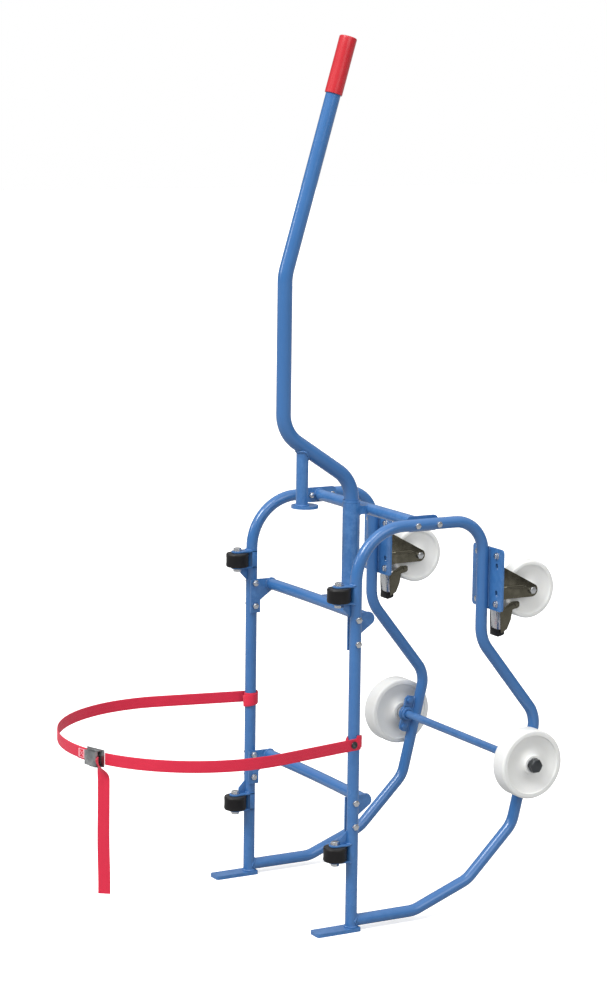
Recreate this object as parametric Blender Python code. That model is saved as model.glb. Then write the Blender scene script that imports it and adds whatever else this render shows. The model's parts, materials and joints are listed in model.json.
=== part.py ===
"""Drum dolly: a tubular frame that holds a 200 litre drum upright, tips back and rolls on four wheels.

Metres, +Z up. X runs across the dolly (right is +X), +Y points back, away from the drum.
The origin is on the floor under the middle of the whole dolly with its strap closed.
"""

import bmesh
import bpy
from math import acos, atan2, cos, hypot, pi, radians, sin, sqrt, tan
from mathutils import Matrix, Vector

# Fits
TOUCH = 0.0003            # gap between pieces that touch
RUN = 0.0006              # radial play of a piece that turns or slides

# Side frames
POST_Y = 0.033            # the posts' place behind the origin
POST_SPACING = 0.456      # between the two side frames, centre to centre
FRAME_TUBE_R = 0.0125
FRAME_TOP = 0.854         # centre of the top run
REAR_SETBACK = 0.309      # rear upright behind the post
KNEE_DROP = 0.258         # top run to where the rear upright turns back
BELLY = (0.455, 0.414)    # furthest point back: behind the post, height
SHIN = (0.399, 0.180)
HEEL = (0.288, 0.071)
FOOT_RUN = 0.1545         # straight run along the floor, behind the post
FRONT_BEND = 0.110
REAR_BEND = 0.070
KNEE_BEND = 0.080
LOW_BEND = 0.062

# Toe plates
TOE_T = 0.008
TOE_WIDTH = 0.036
TOE_FRONT = 0.089         # reach in front of the post's centre
TOE_BACK = 0.016
TOE_CORNER = 0.006

# The drum that the dolly carries, and the rollers that it lies on
DRUM_R = 0.2865
ROLLER_R = 0.025
ROLLER_H = 0.031
ROLLER_INSET = 0.0045     # rollers stand this much nearer the middle than the posts
ROLLER_GAP = 0.0012       # roller to post
ROLLER_LOW_Z = 0.170
ROLLER_HIGH_DROP = 0.134  # below the top run
ROLLER_BOLT_R = 0.005
EAR_T = 0.0035
EAR_R = 0.0135
RIB_H = 0.030
RIB_T = 0.003
RIB_FRONT_H = 0.012
RIB_FRONT = 0.0095        # behind the roller's pin

# Crossbars
BAR_R = 0.0125
BAR_END_Y = 0.040         # behind the post, at the ends of a bowed bar
BAR_BOW = 0.0045          # how far its middle stands further back
BAR_LOW_Z = 0.273
BAR_HIGH_DROP = 0.192     # below the top run
LUG_T = 0.0042
LUG_NOSE_R = 0.013
LUG_DOWN = 0.062
BOLT_R = 0.005
BOLT_UP = 0.005           # bolts over and under the bar's centre
BOLT_DOWN = 0.046
BOLT_AF = 0.0155
BOLT_HEAD_T = 0.005
BOLT_NUT_T = 0.0065
BOLT_TIP = 0.009          # shank past the lug
TOP_BOLT_FRONT = 0.021    # bolts in front of and behind the top bar
TOP_BOLT_BACK = 0.031
TOP_LUG_HALF = 0.0165     # half the top lugs' height
TOP_LUG_END = 0.012       # past each bolt

# Mast and handle
MAST_SETBACK = 0.119
HANDLE_R = 0.0159
SLEEVE_WALL = 0.0025
SLEEVE_RISE = 0.016       # sleeve's top above the top run
SLEEVE_LENGTH = 0.238
MAST_LINK = 0.0095        # sleeve to top bar
LINK_HALF = 0.009         # half the height of the links to the bars
BUSH_H = 0.006
HANDLE_FOOT = 0.023       # tube's end above the sleeve's bottom
CRANK_RISE = 0.063        # above the top run, where the crank leaves the mast's line
CRANK_FRONT = -0.050      # handle upright, behind the post
CRANK_PITCH = radians(33.6)
LEAN_RISE = 0.507         # above the top run, where the handle leans back
LEAN = radians(16.3)
HANDLE_RISE = 0.997       # handle's end above the top run
CRANK_BEND = 0.075
LEAN_BEND = 0.110
GRIP_WALL = 0.0026
GRIP_LENGTH = 0.119
GRIP_END = 0.004
HOOK_Y = -0.003           # hook post, behind the frame's posts
HOOK_R = 0.013
HOOK_PLATE_R = 0.029
HOOK_PLATE_T = 0.006
HOOK_PLATE_SHIFT = 0.007
HOOK_PLATE_RISE = 0.012   # above the top run

# Main wheels and axle
AXLE_CLEAR = 0.0007       # wheel bush to the frame's tube
AXLE_Z = 0.325
AXLE_R = 0.009
WHEEL_R = 0.075
WHEEL_WIDTH = 0.043
WHEEL_SIDE_GAP = 0.0085   # frame tube to tyre
BUSH_WALL = 0.0035
HUB_R = 0.021
HUB_PROUD = 0.0025
RIM_DEPTH = 0.015         # tread to web, on all four wheels
WEB_DISH = 0.004
TREAD_ROUND = 0.004
NUT_AF = 0.027
NUT_T = 0.010
AXLE_PROUD = 0.003
BRACKET_T = 0.005
BRACKET_HALF = 0.044
BRACKET_REACH = 0.046     # from the tube's centre line to the bracket's front edge
BRACKET_CORNER = 0.014
BRACKET_BOLT = 0.031      # from the axle to each of the two bolts
BRACKET_HOLE_R = 0.0043

# Casters
CASTER_DROP = 0.125       # swivel axis below the top run
CASTER_R = 0.0625
CASTER_WIDTH = 0.036
CASTER_TRAIL = 0.031
CASTER_GAP = 0.0157       # crown to tread
MOUNT_W = 0.115
MOUNT_H = 0.133
MOUNT_T = 0.0045
PLATE_W = 0.085
PLATE_H = 0.120
PLATE_T = 0.003
HEAD_R = 0.026
HEAD_T = 0.007
KING_PIN_R = 0.006
KING_CAP_R = 0.010
KING_CAP_T = 0.0047
CROWN_R = 0.029
CROWN_T = 0.004
LEG_T = 0.003
LEG_GAP = 0.0235          # swivel axis to a leg's inner face
NOSE_R = 0.0145
CASTER_AXLE_R = 0.005
CASTER_HUB_R = 0.014
CHEEK_T = 0.002
BRAKE_PIVOT = (0.058, 0.060)    # behind the mounting face, below the swivel axis

# Strap
STRAP_Z = 0.405
STRAP_W = 0.025
STRAP_T = 0.002
STRAP_SLACK = 0.0002      # webbing to drum
HITCH_TURN = radians(262)
BUCKLE_ANGLE = radians(19.2)
BUCKLE_HALF = 0.025
BUCKLE_HEIGHT = 0.036
BUCKLE_BASE_T = 0.002
BUCKLE_CHEEK_T = 0.002
BUCKLE_DEPTH = 0.014
BUCKLE_PIN_R = 0.0028
LEVER_T = 0.0025
TAIL_LENGTH = 0.262
TAIL_ANGLE = radians(24.7)

# Heads and nuts on the rollers' pins and the casters' axles
PIN_HEAD_R = 0.0085
PIN_HEAD_T = 0.0065

TUBE_SIDES = 12
SLEEVE_SIDES = 20
HANDLE_SIDES = 16
DRILL_SIDES = 10
POST_X = POST_SPACING / 2
RIGHT, LEFT = 1, -1
SIDES = (("right", RIGHT), ("left", LEFT))


# ---------------------------------------------------------------- modelling helpers

def clear_scene():
    for obj in list(bpy.data.objects):
        bpy.data.objects.remove(obj, do_unlink=True)


def material(name, colour, roughness, metallic=0.0):
    made = bpy.data.materials.new(name)
    made.use_nodes = True
    shader = made.node_tree.nodes["Principled BSDF"]
    shader.inputs["Base Color"].default_value = (*colour, 1.0)
    shader.inputs["Roughness"].default_value = roughness
    shader.inputs["Metallic"].default_value = metallic
    made.diffuse_color = (*colour, 1.0)
    return made


def place(name, bm, finish, origin=(0, 0, 0), parent=None):
    """Turns a bmesh in world coordinates into an object whose origin is the given point."""
    bmesh.ops.recalc_face_normals(bm, faces=bm.faces)
    bmesh.ops.translate(bm, verts=bm.verts, vec=-Vector(origin))
    mesh = bpy.data.meshes.new(name)
    bm.to_mesh(mesh)
    bm.free()
    mesh.materials.append(finish)
    mesh.shade_smooth()
    mesh.set_sharp_from_angle(angle=radians(35))
    obj = bpy.data.objects.new(name, mesh)
    bpy.context.scene.collection.objects.link(obj)
    obj.location = origin
    if parent is not None:
        obj.parent = parent
        obj.matrix_parent_inverse = Matrix.Translation(parent.location).inverted()
    return obj


def boolean(target, tool, operation):
    tool.hide_render = True
    tool.display_type = "WIRE"
    cut = target.modifiers.new(operation.title(), "BOOLEAN")
    cut.operation = operation
    cut.solver = "EXACT"
    cut.object = tool


def loft(bm, rings, closed=False):
    """Skins a row of equally long vertex rings, with flat ends unless the row is closed."""
    made = [[bm.verts.new(point) for point in ring] for ring in rings]
    pairs = list(zip(made, made[1:]))
    if closed:
        pairs.append((made[-1], made[0]))
    for first, second in pairs:
        for i in range(len(first)):
            j = (i + 1) % len(first)
            bm.faces.new((first[i], first[j], second[j], second[i]))
    if not closed:
        bm.faces.new(made[0])
        bm.faces.new(made[-1])


def rounded(points, radii, closed=False, step=radians(18)):
    """Replaces each inner corner of a plane path (y, z) by an arc of its radius."""
    made = []
    count = len(points)
    for i, corner in enumerate(points):
        if not closed and i in (0, count - 1):
            made.append(Vector(corner))
            continue
        here = Vector(corner)
        back = (Vector(points[i - 1]) - here).normalized()
        ahead = (Vector(points[(i + 1) % count]) - here).normalized()
        turn = pi - back.angle(ahead)
        if radii[i] == 0 or turn < radians(1):
            made.append(here)
            continue
        reach = radii[i] * tan(turn / 2)
        centre = here + (back + ahead).normalized() * (radii[i] / cos(turn / 2))
        start = here + back * reach - centre
        side = 1 if back.x * ahead.y - back.y * ahead.x < 0 else -1
        pieces = max(2, round(turn / step))
        for k in range(pieces + 1):
            angle = side * turn * k / pieces
            turned = (start.x * cos(angle) - start.y * sin(angle), start.x * sin(angle) + start.y * cos(angle))
            made.append(centre + Vector(turned))
    return made


def tube_rings(path, x, radius, sides=TUBE_SIDES, closed=False):
    """Rings of a round tube along a path (y, z) in the plane at x, mitred at each point."""
    rings = []
    count = len(path)
    for i, point in enumerate(path):
        before = path[i - 1] if closed or i else None
        after = path[(i + 1) % count] if closed or i < count - 1 else None
        arrive = (point - before).normalized() if before is not None else (after - point).normalized()
        leave = (after - point).normalized() if after is not None else arrive
        along = (arrive + leave).normalized()
        across = Vector((-along.y, along.x)) / arrive.dot(along)
        ring = []
        for k in range(sides):
            angle = 2 * pi * (k + 0.5) / sides
            off = across * radius * cos(angle)
            ring.append((x + radius * sin(angle), point.x + off.x, point.y + off.y))
        rings.append(ring)
    return rings


def axis_point(axis, centre, radius, angle, along):
    """A point on a circle round an axis through centre, moved along that axis."""
    u, v = radius * cos(angle), radius * sin(angle)
    x, y, z = centre
    if axis == "X":
        return (x + along, y + u, z + v)
    if axis == "Y":
        return (x + v, y + along, z + u)
    return (x + u, y + v, z + along)


def turned(bm, profile, centre, axis="Z", sides=16, hollow=False):
    """Turns a profile of (radius, along) round an axis. A hollow profile is a closed outline."""
    rings = []
    for radius, along in profile:
        rings.append([axis_point(axis, centre, radius, 2 * pi * k / sides, along) for k in range(sides)])
    loft(bm, rings, closed=hollow)


def ring_profile(inner, outer, low, high, chamfer=0.0):
    """Closed outline of a plain ring with chamfered outer edges."""
    if chamfer == 0:
        return [(inner, high), (outer, high), (outer, low), (inner, low)]
    return [
        (inner, high), (outer - chamfer, high), (outer, high - chamfer),
        (outer, low + chamfer), (outer - chamfer, low), (inner, low),
    ]


def rod_profile(radius, low, high, chamfer=0.0):
    if chamfer == 0:
        return [(radius, low), (radius, high)]
    return [(radius - chamfer, low), (radius, low + chamfer), (radius, high - chamfer), (radius - chamfer, high)]


def prism(bm, outline, near, far, axis="X"):
    """Extrudes a plane outline between two places on an axis: (y, z) along X, (x, z) along Y, (x, y) along Z."""
    def spot(a, b, along):
        return {"X": (along, a, b), "Y": (a, along, b), "Z": (a, b, along)}[axis]
    loft(bm, [[spot(a, b, place_at) for a, b in outline] for place_at in (near, far)])


def box(bm, low, high):
    outline = [(low[0], low[1]), (high[0], low[1]), (high[0], high[1]), (low[0], high[1])]
    prism(bm, outline, low[2], high[2], "Z")


def arc(centre, radius, start, end, pieces):
    return [
        (centre[0] + radius * cos(start + (end - start) * k / pieces),
         centre[1] + radius * sin(start + (end - start) * k / pieces))
        for k in range(pieces + 1)
    ]


def rounded_outline(points, radii, step=radians(30)):
    return [tuple(point) for point in rounded(points, radii, closed=True, step=step)]


def hexagon(across_flats):
    corner = across_flats / 2 / cos(pi / 6)
    return [(corner * cos(pi / 3 * k), corner * sin(pi / 3 * k)) for k in range(6)]


def back(setback):
    """World Y of a place given behind the posts."""
    return POST_Y + setback


# ---------------------------------------------------------------- side frames

FOOT_CENTRE_Z = TOE_T + TOUCH + FRAME_TUBE_R
KNEE_Z = FRAME_TOP - KNEE_DROP
BAR_HIGH_Z = FRAME_TOP - BAR_HIGH_DROP
FRAME_FLAT_R = FRAME_TUBE_R * cos(pi / TUBE_SIDES)      # to the flats on the tube's inner and outer sides
LUG_FACE_X = POST_X - FRAME_FLAT_R - TOUCH
SLEEVE_BORE_R = HANDLE_R + RUN
SLEEVE_R = SLEEVE_BORE_R + SLEEVE_WALL
TOP_BAR_SETBACK = MAST_SETBACK + SLEEVE_R + MAST_LINK + BAR_R


def frame_path():
    corners = [
        (back(0), FOOT_CENTRE_Z), (back(0), FRAME_TOP), (back(REAR_SETBACK), FRAME_TOP),
        (back(REAR_SETBACK), KNEE_Z), (back(BELLY[0]), BELLY[1]), (back(SHIN[0]), SHIN[1]),
        (back(HEEL[0]), HEEL[1]), (back(FOOT_RUN), FOOT_CENTRE_Z),
    ]
    radii = [0, FRONT_BEND, REAR_BEND, KNEE_BEND, LOW_BEND, LOW_BEND, LOW_BEND, LOW_BEND]
    return rounded(corners, radii, closed=True)


def lug_bolt_spots():
    """Places (y, z) of the bolts that hold the three crossbars' lugs to one side frame."""
    spots = []
    for bar_z in (BAR_LOW_Z, BAR_HIGH_Z):
        spots += [(back(0), bar_z + BOLT_UP), (back(0), bar_z - BOLT_DOWN)]
    spots += [(back(TOP_BAR_SETBACK - TOP_BOLT_FRONT), FRAME_TOP), (back(TOP_BAR_SETBACK + TOP_BOLT_BACK), FRAME_TOP)]
    return spots


def side_frame(name, side, finish):
    bm = bmesh.new()
    loft(bm, tube_rings(frame_path(), side * POST_X, FRAME_TUBE_R, closed=True), closed=True)
    frame = place(name, bm, finish, (side * POST_X, back(0), 0))
    for y, z in lug_bolt_spots():
        drill(frame, finish, (side * POST_X, y, z), depth=FRAME_TUBE_R * 2)
    return frame


def toe_plate(name, side, finish):
    bm = bmesh.new()
    half = TOE_WIDTH / 2
    x = side * POST_X
    corners = [
        (x - half, back(-TOE_FRONT)), (x + half, back(-TOE_FRONT)),
        (x + half, back(TOE_BACK)), (x - half, back(TOE_BACK)),
    ]
    prism(bm, rounded_outline(corners, [TOE_CORNER] * 4), 0, TOE_T, "Z")
    return place(name, bm, finish, (x, back(0), 0))


def belly_line():
    """Start and direction, in (y, z), of the straight tube that the axle brackets are welded to."""
    start = Vector((back(BELLY[0]), BELLY[1]))
    end = Vector((back(SHIN[0]), SHIN[1]))
    return start, (end - start).normalized()


# ---------------------------------------------------------------- crossbars

def bar_path_y(x):
    """Setback of a bowed bar's centre line at x."""
    end_x = LUG_FACE_X - LUG_T
    return BAR_END_Y + BAR_BOW * (1 - (x / end_x) ** 2)


def lug_outline(bar_z):
    """Outline (y, z) of the lug at a bowed bar's end: a nose round the bar and a tail down the post."""
    front = back(-FRAME_TUBE_R + 0.002)
    heel = back(FRAME_TUBE_R + 0.001)
    nose = (back(BAR_END_Y), bar_z)
    outline = [(front, bar_z - LUG_DOWN), (heel, bar_z - LUG_DOWN), (heel, bar_z - LUG_DOWN * 0.55)]
    outline += arc(nose, LUG_NOSE_R, radians(-45), radians(90), 5)
    outline += [(front, bar_z + LUG_NOSE_R)]
    return outline


def bowed_bar(name, bar_z, finish):
    """A crossbar whose middle stands back round the drum, with a bolted lug at each end."""
    bm = bmesh.new()
    end_x = LUG_FACE_X - LUG_T / 2
    pieces = 4
    rings = []
    for i in range(pieces + 1):
        x = end_x * (2 * i / pieces - 1)
        slope = -2 * BAR_BOW * x / (LUG_FACE_X - LUG_T) ** 2
        lean = atan2(slope, 1) if 0 < i < pieces else 0
        centre = (x, back(bar_path_y(x)), bar_z)
        ring = []
        for k in range(TUBE_SIDES):
            angle = 2 * pi * (k + 0.5) / TUBE_SIDES
            across, up = BAR_R * cos(angle), BAR_R * sin(angle)
            ring.append((centre[0] - across * sin(lean), centre[1] + across * cos(lean), bar_z + up))
        rings.append(ring)
    loft(bm, rings)
    bar = place(name, bm, finish)
    for side in (RIGHT, LEFT):
        plate = bmesh.new()
        prism(plate, lug_outline(bar_z), side * (LUG_FACE_X - LUG_T), side * LUG_FACE_X)
        boolean(bar, place(f"{name}_lug_tool", plate, finish), "UNION")
        for bolt_z in (bar_z + BOLT_UP, bar_z - BOLT_DOWN):
            drill(bar, finish, (side * LUG_FACE_X, back(0), bolt_z))
    return bar


def drill(target, finish, at, radius=BOLT_R + TOUCH, depth=0.02, axis="X"):
    """Cuts a round hole whose flats, not its corners, lie at the radius."""
    bm = bmesh.new()
    turned(bm, rod_profile(radius / cos(pi / DRILL_SIDES), -depth, depth), at, axis, DRILL_SIDES)
    boolean(target, place(f"{target.name}_drill_tool", bm, finish), "DIFFERENCE")


def top_bar(name, finish):
    """The straight bar between the top runs, behind the mast, with a bolted plate at each end."""
    bm = bmesh.new()
    end_x = LUG_FACE_X - LUG_T / 2
    turned(bm, rod_profile(BAR_R, -end_x, end_x), (0, back(TOP_BAR_SETBACK), FRAME_TOP), "X", TUBE_SIDES)
    bar = place(name, bm, finish)
    front = back(TOP_BAR_SETBACK - TOP_BOLT_FRONT) - TOP_LUG_END
    rear = back(TOP_BAR_SETBACK + TOP_BOLT_BACK) + TOP_LUG_END
    low, high = FRAME_TOP - TOP_LUG_HALF, FRAME_TOP + TOP_LUG_HALF
    corners = [(front, low), (rear, low), (rear, high), (front, high)]
    for side in (RIGHT, LEFT):
        plate = bmesh.new()
        outline = rounded_outline(corners, [TOP_LUG_END * 0.75] * 4, radians(45))
        prism(plate, outline, side * (LUG_FACE_X - LUG_T), side * LUG_FACE_X)
        boolean(bar, place(f"{name}_lug_tool", plate, finish), "UNION")
        for bolt_y in (TOP_BAR_SETBACK - TOP_BOLT_FRONT, TOP_BAR_SETBACK + TOP_BOLT_BACK):
            drill(bar, finish, (side * LUG_FACE_X, back(bolt_y), FRAME_TOP))
    return bar


def mast_link(bar, bar_setback, bar_z, finish):
    """A block from a crossbar's middle to the mast sleeve, seated on the sleeve's round side."""
    bm = bmesh.new()
    half_width = SLEEVE_R * 0.8
    near, far = sorted((bar_setback, MAST_SETBACK))
    box(bm, (-half_width, back(near), bar_z - LINK_HALF), (half_width, back(far), bar_z + LINK_HALF))
    boolean(bar, place(f"{bar.name}_link_tool", bm, finish), "UNION")
    seat = bmesh.new()
    reach = LINK_HALF * 2
    turned(seat, rod_profile(SLEEVE_R + TOUCH, -reach, reach), (0, back(MAST_SETBACK), bar_z), "Z", SLEEVE_SIDES)
    boolean(bar, place(f"{bar.name}_seat_tool", seat, finish), "DIFFERENCE")


def bolt(name, at, finish, side, grip_length):
    """A hex-headed bolt along X with its head on the outer side and its nut inside."""
    bm = bmesh.new()
    x, y, z = at
    turned(bm, rod_profile(BOLT_R, -side * (grip_length + BOLT_TIP), side * BOLT_HEAD_T / 2), at, "X", 8)
    shank = place(name, bm, finish, at)
    head = bmesh.new()
    outline = [(y + a, z + b) for a, b in hexagon(BOLT_AF)]
    prism(head, outline, x, x + side * BOLT_HEAD_T)
    boolean(shank, place(f"{name}_head_tool", head, finish), "UNION")
    nut = bmesh.new()
    prism(nut, outline, x - side * grip_length, x - side * (grip_length + BOLT_NUT_T))
    boolean(shank, place(f"{name}_nut_tool", nut, finish), "UNION")
    return shank


# ---------------------------------------------------------------- mast, handle and hook

SLEEVE_TOP = FRAME_TOP + SLEEVE_RISE
SLEEVE_BOTTOM = SLEEVE_TOP - SLEEVE_LENGTH
CRANK_Z = FRAME_TOP + CRANK_RISE
LEAN_Z = FRAME_TOP + LEAN_RISE
HANDLE_TOP_Z = FRAME_TOP + HANDLE_RISE
GRIP_R = HANDLE_R + TOUCH + GRIP_WALL
HOOK_PLATE_Z = FRAME_TOP + HOOK_PLATE_RISE


def mast_sleeve(name, finish):
    bm = bmesh.new()
    profile = ring_profile(SLEEVE_BORE_R, SLEEVE_R, SLEEVE_BOTTOM, SLEEVE_TOP)
    turned(bm, profile, (0, back(MAST_SETBACK), 0), "Z", SLEEVE_SIDES, hollow=True)
    return place(name, bm, finish, (0, back(MAST_SETBACK), SLEEVE_BOTTOM))


def guide_bush(name, finish):
    bm = bmesh.new()
    low = SLEEVE_TOP + TOUCH
    profile = ring_profile(SLEEVE_BORE_R, SLEEVE_R - TOUCH, low, low + BUSH_H)
    turned(bm, profile, (0, back(MAST_SETBACK), 0), "Z", SLEEVE_SIDES, hollow=True)
    return place(name, bm, finish, (0, back(MAST_SETBACK), SLEEVE_TOP))


def crank_height(setback):
    """Height of the crank's centre line at a place behind the posts."""
    return CRANK_Z + (MAST_SETBACK - setback) * tan(CRANK_PITCH)


def handle_path():
    lean_y = CRANK_FRONT + (HANDLE_TOP_Z - LEAN_Z) * tan(LEAN)
    corners = [
        (back(MAST_SETBACK), SLEEVE_BOTTOM + HANDLE_FOOT), (back(MAST_SETBACK), CRANK_Z),
        (back(CRANK_FRONT), crank_height(CRANK_FRONT)), (back(CRANK_FRONT), LEAN_Z),
        (back(lean_y), HANDLE_TOP_Z),
    ]
    return corners, rounded(corners, [0, CRANK_BEND, CRANK_BEND, LEAN_BEND, 0], step=radians(12))


def handle_tube(name, finish):
    bm = bmesh.new()
    path = handle_path()[1]
    loft(bm, tube_rings(path, 0, HANDLE_R, HANDLE_SIDES))
    return place(name, bm, finish, (0, back(MAST_SETBACK), SLEEVE_TOP))


def handle_grip(name, finish, parent):
    """A closed sleeve over the handle's end."""
    corners = handle_path()[0]
    top = Vector((0, *corners[-1]))
    down = (Vector((0, *corners[-2])) - top).normalized()
    bm = bmesh.new()
    bore = HANDLE_R + TOUCH
    vent = 0.001
    profile = [
        (bore, GRIP_LENGTH), (GRIP_R, GRIP_LENGTH), (GRIP_R, GRIP_END), (GRIP_R - GRIP_END, -GRIP_END),
        (vent, -GRIP_END), (vent, -TOUCH), (bore, -TOUCH),
    ]
    sideways = Vector((1, 0, 0))
    forward = down.cross(sideways)
    rings = []
    for radius, along in profile:
        ring = []
        for k in range(HANDLE_SIDES):
            angle = 2 * pi * (k + 0.5) / HANDLE_SIDES
            ring.append(top + down * along + (sideways * cos(angle) + forward * sin(angle)) * radius)
        rings.append(ring)
    loft(bm, rings, closed=True)
    return place(name, bm, finish, top, parent)


def hook_post(name, finish, parent):
    """The upright under the crank, cut along the crank's underside."""
    bm = bmesh.new()
    foot = HOOK_PLATE_Z + HOOK_PLATE_T + TOUCH
    low, high = [], []
    for k in range(TUBE_SIDES):
        angle = 2 * pi * k / TUBE_SIDES
        x, y = HOOK_R * cos(angle), HOOK_Y + HOOK_R * sin(angle)
        underside = crank_height(y) - (HANDLE_R + TOUCH) / cos(CRANK_PITCH)
        low.append((x, back(y), foot))
        high.append((x, back(y), underside))
    loft(bm, [low, high])
    return place(name, bm, finish, (0, back(HOOK_Y), foot), parent)


def hook_plate(name, finish, parent):
    bm = bmesh.new()
    centre = (0, back(HOOK_Y + HOOK_PLATE_SHIFT), 0)
    turned(bm, rod_profile(HOOK_PLATE_R, HOOK_PLATE_Z, HOOK_PLATE_Z + HOOK_PLATE_T), centre, "Z", SLEEVE_SIDES)
    return place(name, bm, finish, (centre[0], centre[1], HOOK_PLATE_Z), parent)


# ---------------------------------------------------------------- rollers

ROLLER_X = POST_X - ROLLER_INSET
ROLLER_SETBACK = -sqrt((FRAME_TUBE_R + ROLLER_R + ROLLER_GAP) ** 2 - ROLLER_INSET ** 2)
DRUM_SETBACK = ROLLER_SETBACK - sqrt((DRUM_R + ROLLER_R) ** 2 - ROLLER_X ** 2)
EAR_REACH = ROLLER_H / 2 + RUN
ROLLER_HIGH_Z = FRAME_TOP - ROLLER_HIGH_DROP
WEB_T = 0.0026
WEB_X = POST_X - FRAME_TUBE_R - TOUCH - 0.0028
WEB_BACK = 0.006


def ear_outline(side):
    """Outline (x, y) of one ear: round the roller's pin, and back past the post's inner side."""
    pin = (ROLLER_X, back(ROLLER_SETBACK))
    outer = POST_X + FRAME_TUBE_R * 0.75
    outline = [(outer, back(-0.004)), (outer, back(-0.012))]
    outline += arc(pin, EAR_R, radians(-15), radians(-180), 6)
    outline += [(WEB_X, back(-0.010)), (WEB_X, back(WEB_BACK)), (WEB_X + EAR_T * 2, back(WEB_BACK))]
    return [(side * x, y) for x, y in outline]


def roller_bracket(name, side, z, rib_way, finish):
    """Two ears round the roller, joined by a web behind the post's inner side, with a rib on one ear."""
    bm = bmesh.new()
    low = z - EAR_REACH - EAR_T
    high = z + EAR_REACH + EAR_T
    prism(bm, ear_outline(side), low, low + EAR_T, "Z")
    bracket = place(name, bm, finish, (side * ROLLER_X, back(ROLLER_SETBACK), z))
    upper = bmesh.new()
    prism(upper, ear_outline(side), high - EAR_T, high, "Z")
    boolean(bracket, place(f"{name}_ear_tool", upper, finish), "UNION")
    web = bmesh.new()
    web_low, web_high = sorted((side * WEB_X, side * (WEB_X + WEB_T)))
    sunk = EAR_T / 7
    box(web, (web_low, back(-0.007), low + sunk), (web_high, back(WEB_BACK - sunk), high - sunk))
    boolean(bracket, place(f"{name}_web_tool", web, finish), "UNION")
    rib = bmesh.new()
    base = z + rib_way * (EAR_REACH + EAR_T - sunk)
    post_face = back(sunk * 4 - FRAME_TUBE_R)
    front = back(ROLLER_SETBACK + RIB_FRONT)
    corners = [
        (post_face, base), (post_face, base + rib_way * RIB_H), (front, base + rib_way * RIB_FRONT_H), (front, base),
    ]
    rib_x = side * (POST_X - RIB_T / 2)
    prism(rib, corners, rib_x - RIB_T / 2, rib_x + RIB_T / 2)
    boolean(bracket, place(f"{name}_rib_tool", rib, finish), "UNION")
    post = bmesh.new()
    past = EAR_REACH + RIB_H * 2
    turned(post, rod_profile(FRAME_TUBE_R + TOUCH, -past, past), (side * POST_X, back(0), z), "Z", SLEEVE_SIDES)
    boolean(bracket, place(f"{name}_post_tool", post, finish), "DIFFERENCE")
    drill(bracket, finish, (side * ROLLER_X, back(ROLLER_SETBACK), z), ROLLER_BOLT_R + TOUCH, past, "Z")
    return bracket


def roller(name, side, z, finish):
    bm = bmesh.new()
    at = (side * ROLLER_X, back(ROLLER_SETBACK), z)
    profile = ring_profile(ROLLER_BOLT_R + RUN, ROLLER_R, -ROLLER_H / 2, ROLLER_H / 2, 0.002)
    turned(bm, profile, at, "Z", SLEEVE_SIDES, hollow=True)
    return place(name, bm, finish, at)


def roller_bolt(name, side, z, finish):
    """The roller's pin, with its head over the upper ear and its nut under the lower one."""
    bm = bmesh.new()
    at = (side * ROLLER_X, back(ROLLER_SETBACK), z)
    face = EAR_REACH + EAR_T + TOUCH
    profile = [
        (PIN_HEAD_R, -face - PIN_HEAD_T), (PIN_HEAD_R, -face), (ROLLER_BOLT_R, -face),
        (ROLLER_BOLT_R, face), (PIN_HEAD_R, face), (PIN_HEAD_R, face + PIN_HEAD_T),
    ]
    turned(bm, profile, at, "Z", 8)
    return place(name, bm, finish, at)


# ---------------------------------------------------------------- main wheels and axle

WHEEL_IN = POST_X + FRAME_TUBE_R + WHEEL_SIDE_GAP
WHEEL_OUT = WHEEL_IN + WHEEL_WIDTH
BUSH_R = AXLE_R + RUN / 2 + BUSH_WALL
BELLY_SLOPE = (BELLY[0] - SHIN[0]) / (BELLY[1] - SHIN[1])
AXLE_REACH = (FRAME_TUBE_R + BUSH_R + AXLE_CLEAR) * hypot(1, BELLY_SLOPE)
AXLE_SETBACK = SHIN[0] + (AXLE_Z - SHIN[1]) * BELLY_SLOPE - AXLE_REACH    # in front of the frame's belly
BUSH_IN = POST_X + BRACKET_T / 2 + TOUCH
BUSH_OUT = WHEEL_OUT + HUB_PROUD + TOUCH


def axle_at(x=0.0):
    return (x, back(AXLE_SETBACK), AXLE_Z)


def axle_bracket(name, side, finish):
    """A plate welded to the front of the frame's belly, bored for the axle and for its two bolts."""
    start, along = belly_line()
    forward = Vector((along.y, -along.x))
    if forward.x > 0:
        forward = -forward
    centre = Vector((back(AXLE_SETBACK), AXLE_Z))
    foot = start + along * (centre - start).dot(along)
    first = FRAME_TUBE_R + TOUCH
    corners = [
        foot + along * -BRACKET_HALF + forward * first, foot + along * -BRACKET_HALF + forward * BRACKET_REACH,
        foot + along * BRACKET_HALF + forward * BRACKET_REACH, foot + along * BRACKET_HALF + forward * first,
    ]
    bm = bmesh.new()
    outline = rounded_outline(corners, [0, BRACKET_CORNER, BRACKET_CORNER, 0])
    prism(bm, outline, side * POST_X - BRACKET_T / 2, side * POST_X + BRACKET_T / 2)
    plate = place(name, bm, finish, axle_at(side * POST_X))
    drill(plate, finish, axle_at(side * POST_X), AXLE_R + TOUCH)
    for way in (1, -1):
        hole = centre + along * (way * BRACKET_BOLT)
        drill(plate, finish, (side * POST_X, hole.x, hole.y), BRACKET_HOLE_R)
    return plate


def main_axle(name, finish):
    bm = bmesh.new()
    end = BUSH_OUT + TOUCH + NUT_T + AXLE_PROUD
    turned(bm, rod_profile(AXLE_R, -end, end), axle_at(), "X", 16)
    return place(name, bm, finish, axle_at())


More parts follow.
